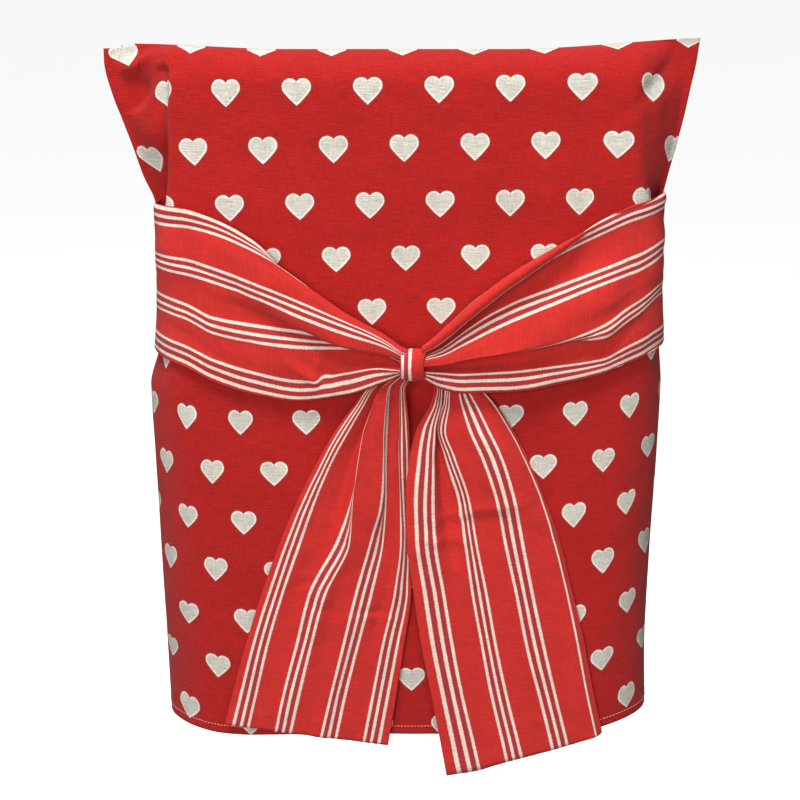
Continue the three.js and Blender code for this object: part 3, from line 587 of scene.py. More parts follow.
RIGHT_TAIL = {
    "stations": [-268, -285, -300, -325, -350, -390, -430, -480, -530, -580],
    "end": [-661, -616],
    "across": [
        [0, 20, 26, 23, 11, 6, 2, 3, 9, 16, 25, 39],
        [20, 22, 32, 31, 26, 25, 25, 27, 35, 43, 52, 68],
        [34, 24, 34, 33, 28, 29, 35, 40, 48, 57, 65, 80],
        [48, 26, 36, 35, 30, 36, 48, 54, 61, 70, 79, 93],
        [62, 28, 39, 39, 36, 44, 57, 64, 74, 83, 93, 107],
        [75, 30, 42, 43, 46, 56, 69, 76, 87, 97, 107, 120],
        [89, 32, 46, 49, 57, 68, 81, 89, 100, 110, 122, 134],
        [102, 34, 51, 60, 72, 84, 96, 104, 114, 125, 136, 147],
        [116, 36, 56, 68, 82, 94, 109, 119, 130, 140, 150, 160],
        [130, 37, 60, 74, 89, 102, 119, 132, 145, 156, 165, 173],
        [142, 38, 62, 76, 92, 105, 122, 136, 149, 161, 170, 177],
    ],
    "proud": [
        [0, 12, 12, 12, 11, 9.5, 9, 9, 8, 8, 8, 9],
        [20, 9, 9, 10, 12, 13, 12, 11, 9, 8, 8, 10],
        [34, 9, 8, 7, 5.5, 5.5, 6, 6.5, 7.5, 8, 8, 10],
        [44, 9, 8, 7, 6, 6, 6.5, 7.5, 8, 8, 8.5, 10],
        [48, 9, 9, 9, 9.5, 10, 9, 8.5, 8, 8, 9, 10],
        [62, 9, 9, 9.5, 10.5, 10.5, 9.5, 8.5, 8, 8, 9, 10],
        [75, 9, 9, 9, 11, 11, 10, 9, 9, 9, 9, 10],
        [89, 9, 9, 9, 12, 13, 12, 10, 9, 9, 9, 10],
        [102, 9, 9, 9, 11, 13, 12, 10, 9, 9, 9, 9],
        [116, 9, 9, 9, 10, 11, 10, 9, 8, 8, 8, 9],
        [130, 9, 8, 8, 8, 8, 8, 8, 7, 7, 7, 8],
        [142, 8, 7, 7, 7, 6, 6, 6, 6, 6, 6, 7],
    ],
}

# Small folds of the strips, in millimetres of cloth: line, distance along from the seam, angle,
# half length, half width and height.
LEFT_STRIP_FOLDS = [
    [82, 118, 14, 30, 3.5, -1.6],
    [60, 70, 60, 26, 8, 1.0],
    [118, 60, 80, 40, 7, -1.0],
    [125, 176, 60, 22, 3.0, 1.8],
    [120, 186, 60, 24, 4.0, -1.6],
    [30, 470, 4, 26, 3.0, -1.2],
    [70, 440, -12, 40, 4.0, -1.6],
    [60, 452, -12, 40, 6.0, 1.2],
    [110, 460, 25, 30, 6.0, 1.0],
]
RIGHT_STRIP_FOLDS = [
    [70, 62, 118, 46, 6, 1.8],
    [78, 50, 118, 46, 7, -2.0],
    [100, 100, 70, 40, 5, 1.0],
    [46, 560, -14, 22, 2.6, -1.5],
    [60, 585, 18, 18, 2.6, -1.4],
    [112, 590, 2, 20, 2.4, -1.6],
    [112, 596, 2, 22, 4.0, 1.2],
    [30, 520, 80, 60, 7, -1.4],
]

KNOT_X, KNOT_Z, KNOT_PROUD = 7.4, -263.0, 19.5
KNOT_WIDTH, KNOT_HALF_HEIGHT, KNOT_HALF_DEPTH = 22.0, 14.5, 12.0
KNOT_SQUEEZE, KNOT_BULGE, KNOT_LEAN = 0.08, 0.20, 1.2
WRAP_FROM, WRAP_TO, WRAP_COUNT = 160, -75, 48       # degrees up from the front, and rows between
# How the strip is pleated where it wraps the knot: line, place across the knot and depth under
# the outermost layer. The strip's middle shows and both its sides are folded away under it.
WRAP_COLUMNS = ["line", "place", "depth"]
WRAP_PLEATS = [
    [0, -6, 6.5],
    [14, 7, 6.0],
    [30, -8, 4.0],
    [42, -3, 2.4],
    [49, -10.4, 1.6],
    [51.5, -11, 0.6],
    [55, -8.5, 0.0],
    [66, 2.5, 0.2],
    [76, 10, 0.2],
    [78.5, 11, 1.2],
    [82, 9, 2.4],
    [98, -6, 3.2],
    [114, 8, 4.6],
    [132, -7, 5.6],
    [150, 6, 7.4],
]

# A small tuck across the lowest stripes of the left band: where it is along the strip, its reach,
# height and depth, and the lines over which it comes and goes.
TUCK_STATION, TUCK_REACH, TUCK_HEIGHT, TUCK_DEPTH = 73.0, 3.6, 2.4, 1.6
TUCK_IN, TUCK_OUT = (105.0, 7.0), (121.0, 22.0)

NEAR_KNOT, KNOT_OVERLAP = 60.0, 2.0     # so near it the bands shift to the knot, and reach under it
# How much deeper than its table a tail's pleats are at its stations, and how far they stay proud.
TAIL_DEEPEN = curve([0, 1, 3, 5, 7, 10], [1.6, 2.2, 2.3, 2.0, 1.6, 1.3])
TAIL_LEVEL, TAIL_CLEARANCE = 1.0, 3.2

STRIP_LINES = np.arange(0.0, STRIP_WIDTH + 0.01, 1.5)
BAND_AT = spans((251, 60, 66), (60, 8, 27))
TAIL_AT = spans((0, 3, 40), (3, 10, 110))


def strip_value(table, stations, at, lines):
    """A table's value at places along the strip and lines across it, as a grid."""
    marks = [row[0] for row in table]
    along = np.array([curve(stations, row[1:])(at) for row in table])
    return np.array([curve(marks, along[:, k])(lines) for k in range(len(at))])


def band_rows(side, table, at):
    """Rows of a band, from the seam to the knot. side -1 is the left-hand band."""
    height = strip_value(table["height"], BAND_STATIONS, at, STRIP_LINES)
    proud = strip_value(table["proud"], BAND_STATIONS, at, STRIP_LINES)
    near = 1 - smooth((at - BAND_STATIONS[0]) / NEAR_KNOT)
    if side < 0:
        from_tuck = (at - TUCK_STATION) / TUCK_REACH
        step = (from_tuck * np.exp(0.5 - from_tuck ** 2 / 2))[:, None]
        share = ease_in(STRIP_LINES, TUCK_IN) * (1 - ease_in(STRIP_LINES, TUCK_OUT))
        height = height - TUCK_HEIGHT * step * share
        proud = proud + TUCK_DEPTH * step * share
    beside = at - BAND_STATIONS[0] + KNOT_WIDTH / 2 - KNOT_OVERLAP + side * KNOT_X
    across = side * mix(at, beside, near)
    return waist_points(np.repeat(across[:, None], len(STRIP_LINES), axis=1), height, proud)


def tail_rows(tail, at):
    """Rows of a tail from the knot to its end; the pleats are deepest beside the knot."""
    places = np.arange(len(tail["stations"]) + 1.0)
    across = strip_value(tail["across"], places, at, STRIP_LINES)
    proud = strip_value(tail["proud"], places, at, STRIP_LINES)
    level = proud.mean(axis=1, keepdims=True) + TAIL_LEVEL
    proud = np.maximum(level + (proud - level) * TAIL_DEEPEN(at)[:, None], TAIL_CLEARANCE)
    ends = mix(tail["end"][0], tail["end"][1], STRIP_LINES / STRIP_WIDTH)
    height = np.array([curve(places, tail["stations"] + [end])(at) for end in ends]).T
    return waist_points(across, height, proud)


def wrap_rows(angles):
    """Rows of the strip round the knot, from behind it over its top and down its front."""
    pleat = table_curves(WRAP_COLUMNS, WRAP_PLEATS)
    place, depth = pleat["place"](STRIP_LINES), pleat["depth"](STRIP_LINES)
    bulge = 1.0 - KNOT_BULGE * (place / (KNOT_WIDTH / 2)) ** 2
    rows = []
    for angle in np.radians(angles):
        up = (KNOT_HALF_HEIGHT - depth) * math.sin(angle)
        out = (KNOT_HALF_DEPTH - depth) * math.cos(angle)
        squeeze = 1.0 - KNOT_SQUEEZE * math.cos(2 * angle)
        x = KNOT_X + place * squeeze + KNOT_LEAN * math.sin(angle) ** 2
        rows.append(np.stack([x, -TOP_RADIUS - KNOT_PROUD - out * bulge, KNOT_Z + up * bulge], axis=-1))
    return np.array(rows)


def bridge_rows(first, last, count, bow):
    """Rows of cloth between two rows, bowed by a vector in between."""
    rows = []
    for t in np.linspace(0.0, 1.0, count + 2)[1:-1]:
        rows.append(mix(first, last, smooth(t)) + np.array(bow) * math.sin(math.pi * t))
    return np.array(rows)


# ------------------------------------------------------------------ meshes
def add_object(name, data):
    obj = bpy.data.objects.new(name, data)
    bpy.context.scene.collection.objects.link(obj)
    return obj


def cloth_mesh(name, outer, inward, uv, materials):
    """A closed sheet of cloth from a grid of points on its outer face and the way in to its inner one,
    in millimetres. The second material is for the reverse."""
    rows, columns = outer.shape[:2]
    count = rows * columns
    points = np.concatenate([outer.reshape(-1, 3), (outer + inward).reshape(-1, 3)]) * MM
    index = np.arange(count).reshape(rows, columns)
    a, b, c, d = index[:-1, :-1], index[1:, :-1], index[1:, 1:], index[:-1, 1:]
    front = np.stack([a, d, c, b], axis=-1).reshape(-1, 4)
    back = np.stack([a, b, c, d], axis=-1).reshape(-1, 4) + count
    loop = np.concatenate([index[0, :-1], index[:-1, -1], index[-1, :0:-1], index[:0:-1, 0]])
    after = np.roll(loop, -1)
    rim = np.stack([loop, loop + count, after + count, after], axis=-1)
    faces = np.concatenate([front, back, rim])
    tri = np.concatenate([faces[:, [0, 1, 2]], faces[:, [0, 2, 3]]])
    p = points[tri]
    if np.einsum("ij,ij->", p[:, 0], np.cross(p[:, 1], p[:, 2])) < 0:
        faces = faces[:, ::-1]
    mesh = bpy.data.meshes.new(name)
    mesh.vertices.add(len(points))
    mesh.vertices.foreach_set("co", points.ravel())
    mesh.loops.add(faces.size)
    mesh.loops.foreach_set("vertex_index", faces.ravel().astype(np.int32))
    mesh.polygons.add(len(faces))
    mesh.polygons.foreach_set("loop_start", np.arange(0, faces.size, 4, dtype=np.int32))
    mesh.polygons.foreach_set("use_smooth", np.ones(len(faces), dtype=bool))
    slots = np.zeros(len(faces), dtype=np.int32)
    slots[len(front):len(front) + len(back)] = 1
    mesh.polygons.foreach_set("material_index", slots)
    layer = mesh.uv_layers.new(name="Cloth")
    flat = np.concatenate([uv.reshape(-1, 2), uv.reshape(-1, 2)]) * MM
    layer.data.foreach_set("uv", flat[faces.ravel()].ravel())
    for material in materials:
        mesh.materials.append(material)
    mesh.update()
    mesh.validate()
    return add_object(name, mesh)


STITCH_RADIUS, STITCH_SIDES, STITCH_RINGS = 0.34, 6, (0.0, 0.25, 0.75, 1.0)
STITCH_TIP, STITCH_FILL, STITCH_SINK = 0.35, 1.6, 0.35    # its thinner tips, and how deep it lies


def stitch_mesh(name, starts, ends, normals, material):
    """Small stitches of thread, each a six-sided rod that bows out a little in its middle."""
    points, faces = [], []
    for start, end, normal in zip(starts, ends, normals):
        along = (end - start) / max(1e-9, np.linalg.norm(end - start))
        beside = np.cross(along, normal)
        base = len(points)
        for share in STITCH_RINGS:
            bow = math.sin(math.pi * share)
            size = STITCH_RADIUS * (STITCH_TIP + (1 - STITCH_TIP) * min(1.0, bow * STITCH_FILL))
            centre = mix(start, end, share) + normal * (STITCH_RADIUS * (bow - STITCH_SINK))
            for k in range(STITCH_SIDES):
                turn = 2 * math.pi * k / STITCH_SIDES
                points.append(centre + size * (math.cos(turn) * normal + math.sin(turn) * beside))
        last = base + (len(STITCH_RINGS) - 1) * STITCH_SIDES
        for ring in range(base, last, STITCH_SIDES):
            for k in range(STITCH_SIDES):
                a, b = ring + k, ring + (k + 1) % STITCH_SIDES
                faces.append((a, b, b + STITCH_SIDES, a + STITCH_SIDES))
        faces.append(tuple(base + k for k in reversed(range(STITCH_SIDES))))
        faces.append(tuple(last + k for k in range(STITCH_SIDES)))
    mesh = bpy.data.meshes.new(name)
    mesh.from_pydata([tuple(p * MM) for p in points], [], faces)
    mesh.polygons.foreach_set("use_smooth", [True] * len(faces))
    mesh.materials.append(material)
    mesh.update()
    return add_object(name, mesh)


# ------------------------------------------------------------------ materials
class Nodes:
    """Short hand for building a node tree."""

    def __init__(self, tree):
        self.tree = tree

    def add(self, kind, **settings):
        node = self.tree.nodes.new(kind)
        for key, value in settings.items():
            setattr(node, key, value)
        return node

    def set(self, socket, value):
        if isinstance(value, bpy.types.NodeSocket):
            self.tree.links.new(value, socket)
        else:
            socket.default_value = value

    def filled(self, node, *values):
        """Sets a node's first inputs and returns its first output."""
        for socket, value in zip(node.inputs, values):
            self.set(socket, value)
        return node.outputs[0]

    def math(self, operation, *values):
        return self.filled(self.add("ShaderNodeMath", operation=operation), *values)

    def plus(self, a, b):
        return self.math("ADD", a, b)

    def minus(self, a, b):
        return self.math("SUBTRACT", a, b)

    def times(self, a, b):
        return self.math("MULTIPLY", a, b)

    def over(self, a, b):
        return self.math("DIVIDE", a, b)

    def length(self, a, b):
        return self.math("SQRT", self.plus(self.times(a, a), self.times(b, b)))

    def scaled(self, vector, scale):
        node = self.add("ShaderNodeVectorMath", operation="SCALE")
        self.set(node.inputs["Scale"], scale)
        return self.filled(node, vector)

    def ramp(self, value, low, high, out_low=0.0, out_high=1.0):
        node = self.add("ShaderNodeMapRange", interpolation_type="SMOOTHSTEP")
        return self.filled(node, value, low, high, out_low, out_high)

    def blend(self, factor, a, b):
        node = self.add("ShaderNodeMix", data_type="RGBA")
        for socket, value in zip((node.inputs[0], node.inputs[6], node.inputs[7]), (factor, a, b)):
            self.set(socket, value)
        return node.outputs[2]

    def vector(self, x, y, z=0.0):
        return self.filled(self.add("ShaderNodeCombineXYZ"), x, y, z)

    def split(self, vector):
        node = self.add("ShaderNodeSeparateXYZ")
        self.set(node.inputs[0], vector)
        return node.outputs[0], node.outputs[1]

    def noise(self, vector, detail=2.0, roughness=0.5):
        node = self.add("ShaderNodeTexNoise")
        values = {"Vector": vector, "Scale": 1.0, "Detail": detail, "Roughness": roughness}
        for name, value in values.items():
            self.set(node.inputs[name], value)
        return node.outputs[0]

    def group(self, name, **values):
        """A node group placed with these values; an underscore stands for a space."""
        node = self.add("ShaderNodeGroup", node_tree=bpy.data.node_groups[name])
        for key, value in values.items():
            self.set(node.inputs[key.replace("_", " ")], value)
        return node.outputs

    def surface(self, **values):
        """The material's surface, with these inputs; an underscore stands for a space."""
        shader = self.add("ShaderNodeBsdfPrincipled")
        for key, value in values.items():
            self.set(shader.inputs[key.replace("_", " ")], value)
        self.set(self.add("ShaderNodeOutputMaterial").inputs[0], shader.outputs[0])


def new_group(name, inputs, outputs):
    """A node group with named sockets: (name, kind, default) in and (name, kind) out."""
    tree = bpy.data.node_groups.new(name, "ShaderNodeTree")
    for label, kind, default in inputs:
        socket = tree.interface.new_socket(label, in_out="INPUT", socket_type="NodeSocket" + kind)
        if default is not None:
            socket.default_value = default
    for label, kind in outputs:
        tree.interface.new_socket(label, in_out="OUTPUT", socket_type="NodeSocket" + kind)
    nodes = Nodes(tree)
    source, sink = nodes.add("NodeGroupInput"), nodes.add("NodeGroupOutput")
    return nodes, source.outputs, sink.inputs


# Half a heart in its own units: its full width and height and how far its middle lies above its
# point, the round lobe, the wide arc of the side, and the way from the side's centre to the lobe's.
HEART_WIDE, HEART_HIGH, HEART_MIDDLE = 1.2, 1.05, 0.57
LOBE_X, LOBE_Y, LOBE_RADIUS = 0.27, 0.72, 0.33
SIDE_X, SIDE_Y, SIDE_RADIUS = -2.226, 2.8144, 3.5884
LOBE_WAY = (0.6428, 0.766)


def heart_group():
    """Printed hearts on a staggered grid: how much of the cream, of its light rim and of the dark
    line round it shows at a place on the cloth, in millimetres."""
    n, inp, out = new_group(
        "Heart Print",
        [("Place", "Vector", None), ("Across Pitch", "Float", 60.0), ("Down Pitch", "Float", 48.2),
         ("Across Start", "Float", -0.8), ("Down Start", "Float", -1.7),
         ("Row Shift", "Float", 0.7), ("Heart Width", "Float", 24.6), ("Heart Height", "Float", 23.0)],
        [("Heart", "Float"), ("Rim", "Float"), ("Outline", "Float")])
    across, down = n.split(inp["Place"])
    row_place = n.over(n.minus(down, inp["Down Start"]), inp["Down Pitch"])
    row = n.math("ROUND", row_place)
    y = n.times(n.minus(row, row_place), inp["Down Pitch"])
    start = n.math("MULTIPLY_ADD", row, inp["Row Shift"], inp["Across Start"])
    odd = n.math("FLOORED_MODULO", row, 2.0)
    start = n.math("MULTIPLY_ADD", n.times(inp["Across Pitch"], 0.5), odd, start)
    column_place = n.over(n.minus(across, start), inp["Across Pitch"])
    x = n.times(n.minus(column_place, n.math("ROUND", column_place)), inp["Across Pitch"])
    unit = n.over(inp["Heart Height"], HEART_HIGH)
    px = n.over(n.math("ABSOLUTE", x), n.over(inp["Heart Width"], HEART_WIDE))
    py = n.plus(n.over(y, unit), HEART_MIDDLE)
    lobe = n.minus(n.length(n.minus(px, LOBE_X), n.minus(py, LOBE_Y)), LOBE_RADIUS)
    side_x, side_y = n.minus(px, SIDE_X), n.minus(py, SIDE_Y)
    side = n.minus(n.length(side_x, side_y), SIDE_RADIUS)
    above = n.math("MULTIPLY_ADD", side_y, LOBE_WAY[1], n.times(side_x, LOBE_WAY[0]))
    on_lobe = n.math("GREATER_THAN", above, 0.0)
    reach = n.times(n.math("MULTIPLY_ADD", on_lobe, n.minus(lobe, side), side), unit)
    n.set(out["Heart"], n.ramp(reach, 0.25, -0.25))
    n.set(out["Rim"], n.ramp(reach, -2.1, -1.3))
    n.set(out["Outline"], n.times(n.ramp(reach, 0.0, 0.3), n.ramp(reach, 1.3, 0.7)))


def stripe_group():
    """Sets of three cream lines woven along a strip: how much cream, and how much of the darker
    ground between the lines, shows so many millimetres from the strip's edge."""
    n, inp, out = new_group(
        "Stripe Sets",
        [("Line", "Float", 0.0), ("Along", "Float", 0.0), ("First Set", "Float", 14.0),
         ("Set Pitch", "Float", 40.67), ("Line Pitch", "Float", 6.5), ("Line Width", "Float", 2.6),
         ("Softness", "Float", 0.35), ("Wobble", "Float", 0.9)],
        [("Cream", "Float"), ("Ground", "Float")])
    wobble = n.noise(n.vector(n.times(inp["Along"], 0.5), n.times(inp["Line"], 0.9)))
    line = n.plus(inp["Line"], n.times(n.minus(wobble, 0.5), inp["Wobble"]))
    place = n.over(n.minus(line, inp["First Set"]), inp["Set Pitch"])
    size = n.math("ABSOLUTE", n.times(n.minus(place, n.math("ROUND", place)), inp["Set Pitch"]))
    near = n.math("MINIMUM", size, n.math("ABSOLUTE", n.minus(size, inp["Line Pitch"])))
    half = n.times(inp["Line Width"], 0.5)
    n.set(out["Cream"], n.ramp(near, n.plus(half, inp["Softness"]), n.minus(half, inp["Softness"])))
    reach = n.plus(n.plus(inp["Line Pitch"], half), 0.3)
    n.set(out["Ground"], n.ramp(size, n.plus(reach, 0.6), reach))


# The cotton's unevenness: how fine it is across and down, its own layer, detail and roughness.
UNEVEN = {
    "weft": (0.07, 1.15, 0.0, 3.0, 0.6),
    "warp": (1.2, 0.09, 7.0, 3.0, 0.6),
    "cloud": (0.03, 0.05, 3.0, 2.0, 0.5),
    "grain": (1.6, 1.6, 17.6, 2.0, 0.5),
    "crepe": (0.34, 0.8, 5.0, 2.0, 0.6),
}
# How much of the group's inputs shades the colour, how much a cloud does, and what lifts the surface.
SHADES, CLOUD_SHADE = (("weft", "Slub", 2.6), ("warp", "Slub", 1.5), ("grain", "Grain", 2.0)), 0.25
LIFTS = {"weft": 0.9, "warp": 0.6, "grain": 0.4}
THREAD_PITCH, THREAD_LIFT = 0.62, 0.25


def weave_group():
    """Plain-weave cotton: uneven threads that lighten and darken the colour and lift the surface."""
    n, inp, out = new_group(
        "Cotton Weave",
        [("Color", "Color", (0.5, 0.5, 0.5, 1.0)), ("Place", "Vector", None), ("Slub", "Float", 0.3),
         ("Grain", "Float", 0.2), ("Crepe", "Float", 1.0)],
        [("Color", "Color"), ("Height", "Float"), ("Roughness", "Float")])
    u, v = n.split(inp["Place"])
    cloth = {name: n.noise(n.vector(n.times(u, across), n.times(v, down), layer), detail, roughness)
             for name, (across, down, layer, detail, roughness) in UNEVEN.items()}
    level = n.math("MULTIPLY_ADD", n.minus(cloth["cloud"], 0.5), CLOUD_SHADE, 1.0)
    for name, source, share in SHADES:
        level = n.math("MULTIPLY_ADD", n.minus(cloth[name], 0.5), n.times(inp[source], share), level)
    n.set(out["Color"], n.scaled(inp["Color"], level))
    threads = [n.math("SINE", n.times(way, 2 * math.pi / THREAD_PITCH)) for way in (v, u)]
    height = n.times(n.times(*threads), THREAD_LIFT)
    for name, lift in LIFTS.items():
        height = n.math("MULTIPLY_ADD", cloth[name], lift, height)
    n.set(out["Height"], n.math("MULTIPLY_ADD", cloth["crepe"], inp["Crepe"], height))
    n.set(out["Roughness"], n.ramp(cloth["weft"], 0.2, 0.8, 0.80, 0.92))


def new_material(name):
    material = bpy.data.materials.new(name)
    material.use_nodes = True
    material.node_tree.nodes.clear()
    return material, Nodes(material.node_tree)


def cloth_place(n):
    """Place on the cloth in millimetres, from its own map."""
    return n.scaled(n.add("ShaderNodeUVMap", uv_map="Cloth").outputs[0], 1 / MM)


# How strongly colours show: a heart's dark line, the stripes and the ground between them, and the
# cream that tints the reverse of the print.
OUTLINE_SHOWS, STRIPES_SHOW, GROUND_SHOWS, REVERSE_TINT = 0.75, 0.93, 0.8, 0.32


def finish_cloth(n, color, place, slub, grain, crepe):
    """Adds the weave to a colour and feeds the material."""
    weave = n.group("Cotton Weave", Color=color, Place=place, Slub=slub, Grain=grain, Crepe=crepe)
    lift = n.add("ShaderNodeBump")
    for name, value in (("Strength", 0.7), ("Distance", 0.0007), ("Height", weave["Height"])):
        n.set(lift.inputs[name], value)
    n.surface(Base_Color=weave["Color"], Roughness=weave["Roughness"], Specular_IOR_Level=0.12,
              Sheen_Weight=0.05, Sheen_Roughness=0.6, Normal=lift.outputs[0])


def paints(*colours):
    """Colours with their alpha."""
    return [tuple(colour) + (1.0,) for colour in colours]


def heart_cotton(name, colours, fade):
    """Printed cotton; fade says how far the print fades into the ground, as it does on the reverse."""
    material, n = new_material(name)
    place = cloth_place(n)
    shown = n.group("Heart Print", Place=place)
    red, cream, rim, dark = paints(colours.heart_red, colours.cream, colours.rim, colours.outline)
    color = n.blend(n.times(shown["Outline"], OUTLINE_SHOWS), red, dark)
    color = n.blend(shown["Heart"], color, n.blend(shown["Rim"], cream, rim))
    if fade > 0.0:
        color = n.blend(fade, color, n.blend(REVERSE_TINT, red, cream))
    finish_cloth(n, color, place, slub=0.46, grain=0.34, crepe=2.4)
    return material


def striped_cotton(name, colours, first_hem, last_hem, edge):
    """Striped cotton; turned-in hems hide the stripes that far along the strip's two edges, and edge
    says how much of a pale line shows where a hem ends."""
    material, n = new_material(name)
    place = cloth_place(n)
    line, along = n.split(place)
    stripes = n.group("Stripe Sets", Line=line, Along=along)
    red, cream, ground = paints(colours.sash_red, colours.stripe, colours.ground)
    color = n.blend(n.times(stripes["Ground"], GROUND_SHOWS), red, ground)
    color = n.blend(n.times(stripes["Cream"], STRIPES_SHOW), color, cream)
    for hem, inset in ((first_hem, line), (last_hem, n.minus(STRIP_WIDTH, line))):
        if hem > 0.0:
            color = n.blend(n.ramp(inset, hem + 0.5, hem - 0.5), color, red)
            color = n.blend(n.times(n.ramp(inset, 1.0, 0.6), edge), color, cream)
    finish_cloth(n, color, place, slub=0.30, grain=0.24, crepe=0.8)
    return material


def hem_thread(name, colours):
    material, n = new_material(name)
    n.surface(Base_Color=paints(colours.thread)[0], Roughness=0.7)
    return material


# Every material of the cloth with the function that makes it, and what that takes: how faded the
# print is, or the hems at a strip's two edges and their pale line.
CLOTH_MATERIALS = {
    "Heart cotton": (heart_cotton, 0.0),
    "Heart cotton reverse": (heart_cotton, 0.5),
    "Striped cotton": (striped_cotton, 0.0, 0.0, 0.0),
    "Striped cotton left reverse": (striped_cotton, 0.0, 17.0, 0.0),
    "Striped cotton right reverse": (striped_cotton, 10.0, 10.0, 1.0),
    "Hem thread": (hem_thread,),
}
GROUPS = {"Heart Print": heart_group, "Stripe Sets": stripe_group, "Cotton Weave": weave_group}


def cloth_materials(*names):
    """The materials of these names, made where they aren't there yet."""
    for name, make in GROUPS.items():
        if name not in bpy.data.node_groups:
            make()
    materials = []
    for name in names:
        make, *settings = CLOTH_MATERIALS[name]
        found = bpy.data.materials.get(name)
        materials.append(found or make(name, bpy.context.scene.cover_colours, *settings))
    return materials


# ------------------------------------------------------------------ settings
def colour_property(name, description, default):
    return FloatVectorProperty(name=name, description=description, default=default, subtype="COLOR",
                               size=3, min=0.0, max=1.0)


class CoverSizes(bpy.types.PropertyGroup):
    cloth: FloatProperty(name="Cloth", description="Thickness of the printed cotton",
                         default=0.0009, unit="LENGTH")
    hem_cloth: FloatProperty(name="Hem", description="Thickness of the cotton within the hem",
                             default=0.0021, unit="LENGTH")
    hem_depth: FloatProperty(name="Hem depth", description="Depth of the turned-up hem",
                             default=0.010, unit="LENGTH")
    strip_cloth: FloatProperty(name="Sash cloth", description="Thickness of the striped cotton",
                               default=0.0008, unit="LENGTH")
    wrinkle: FloatProperty(name="Wrinkles", description="Height of the small uneven wrinkles",
                           default=0.0006, unit="LENGTH")


class CoverColours(bpy.types.PropertyGroup):
    heart_red: colour_property("Heart cotton red", "Ground of the printed cotton", (0.45, 0.011, 0.009))
    cream: colour_property("Cream", "Inside of the printed hearts", (0.66, 0.625, 0.54))
    rim: colour_property("Heart rim", "Rim of the printed hearts", (0.98, 0.78, 0.70))
    outline: colour_property("Heart outline", "Dark line round the hearts", (0.18, 0.05, 0.035))
    sash_red: colour_property("Sash red", "Ground of the striped cotton", (0.63, 0.027, 0.021))
    stripe: colour_property("Stripe", "Cream lines of the sash", (1.0, 0.77, 0.66))
    ground: colour_property("Stripe ground", "Ground between the cream lines", (0.40, 0.032, 0.038))
    thread: colour_property("Hem thread", "Stitches along the hem", (0.80, 0.30, 0.28))


# Columns of a panel's mesh from its middle out, finer where the cloth turns; its rows over the top
# rail, down the face and within the hem, and how far from the hem's line the rows beside it are.
PANEL_ACROSS = spans((0, 176, 50), (176, HALF_WIDTH, 39))
TOP_ROWS, FALL_ROWS, HEM_ROWS = (0, 60, 31), 165, 5
BEFORE_HEM, AFTER_HEM = 1.0, 2.0
PROBE_ROW = 60                                     # the row at which a panel's way round is told
PANEL_WRINKLES = ((38, 1.0), (15, 0.5))            # size, and share of the height
SIDE_FADE, TOP_FADE = 40.0, 50.0                   # folds fade so near the side and top seams
EAR_SEAM, EAR_SIDE_FADE, EAR_TOP_FADE = 5.0, 14.0, 16.0     # and those of the ears so near theirs
PUCKER_HEIGHT, PUCKER_LENGTH, PUCKER_REACH = 0.25, 2.1, 5.0     # of the cloth along the hem's line
EAR_ROOM, ROOM_ACROSS, ROOM_DOWN = 1.1, (214.0, 8.0), (110.0, 30.0)     # kept clear inside an ear


def cover_cloth(name, facing, folds, ears, seed):
    """One panel of the bag, with the grids that its stitches go by."""
    sizes = bpy.context.scene.cover_sizes
    across = np.concatenate([-PANEL_ACROSS[:0:-1], PANEL_ACROSS])
    hem_line = PANEL_LENGTH - sizes.hem_depth / MM
    down = np.concatenate([spans(TOP_ROWS, (TOP_ROWS[1], hem_line - BEFORE_HEM, FALL_ROWS)), [hem_line],
                           np.linspace(hem_line + AFTER_HEM, PANEL_LENGTH, HEM_ROWS)])
    grid, measured = bag_grid(across, down, facing)
    u, v = np.meshgrid(across, down)
    wrinkles = sum(share * soft_noise(u, v, size, seed + k)
                   for k, (size, share) in enumerate(PANEL_WRINKLES))
    lift = fold_height(u, v, folds) + sizes.wrinkle / MM * wrinkles
    lift = lift * smooth((HALF_WIDTH - np.abs(u)) / SIDE_FADE) * smooth(v / TOP_FADE)
    lift += PUCKER_HEIGHT * np.sin(u / PUCKER_LENGTH) * np.exp(-((v - hem_line) / PUCKER_REACH) ** 2)
    inset = smooth((HALF_WIDTH - EAR_SEAM - np.abs(u)) / EAR_SIDE_FADE) * smooth(v / EAR_TOP_FADE)
    lift += fold_height(u, v, ears) * inset
    probe = (PROBE_ROW, len(across) // 2, facing)
    outward = outward_normals(grid, *probe)
    grid = grid + outward * lift[..., None]
    limit = side_value("seam", u < 0, v) + facing * SEAM_GAP / 2
    limit = limit + facing * EAR_ROOM * ease_in(np.abs(u), ROOM_ACROSS) * (1 - ease_in(v, ROOM_DOWN))
    grid[..., 1] = np.minimum(grid[..., 1], limit) if facing < 0 else np.maximum(grid[..., 1], limit)
    thickness = np.where(v > hem_line - BEFORE_HEM / 2, sizes.hem_cloth, sizes.cloth) / MM
    inward = -outward_normals(grid, *probe) * thickness[..., None]
    obj = cloth_mesh(name, grid, inward, print_place(measured, v),
                     cloth_materials("Heart cotton", "Heart cotton reverse"))
    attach(obj, "root")
    return obj, grid, outward, v


STITCH_LINE, STITCH_PITCH, STITCH_LENGTH = 8.6, 3.1, 2.3      # the first is its height above the hem
STITCH_START, STITCH_END = 2.0, 4.0                          # how far from the side seams they keep


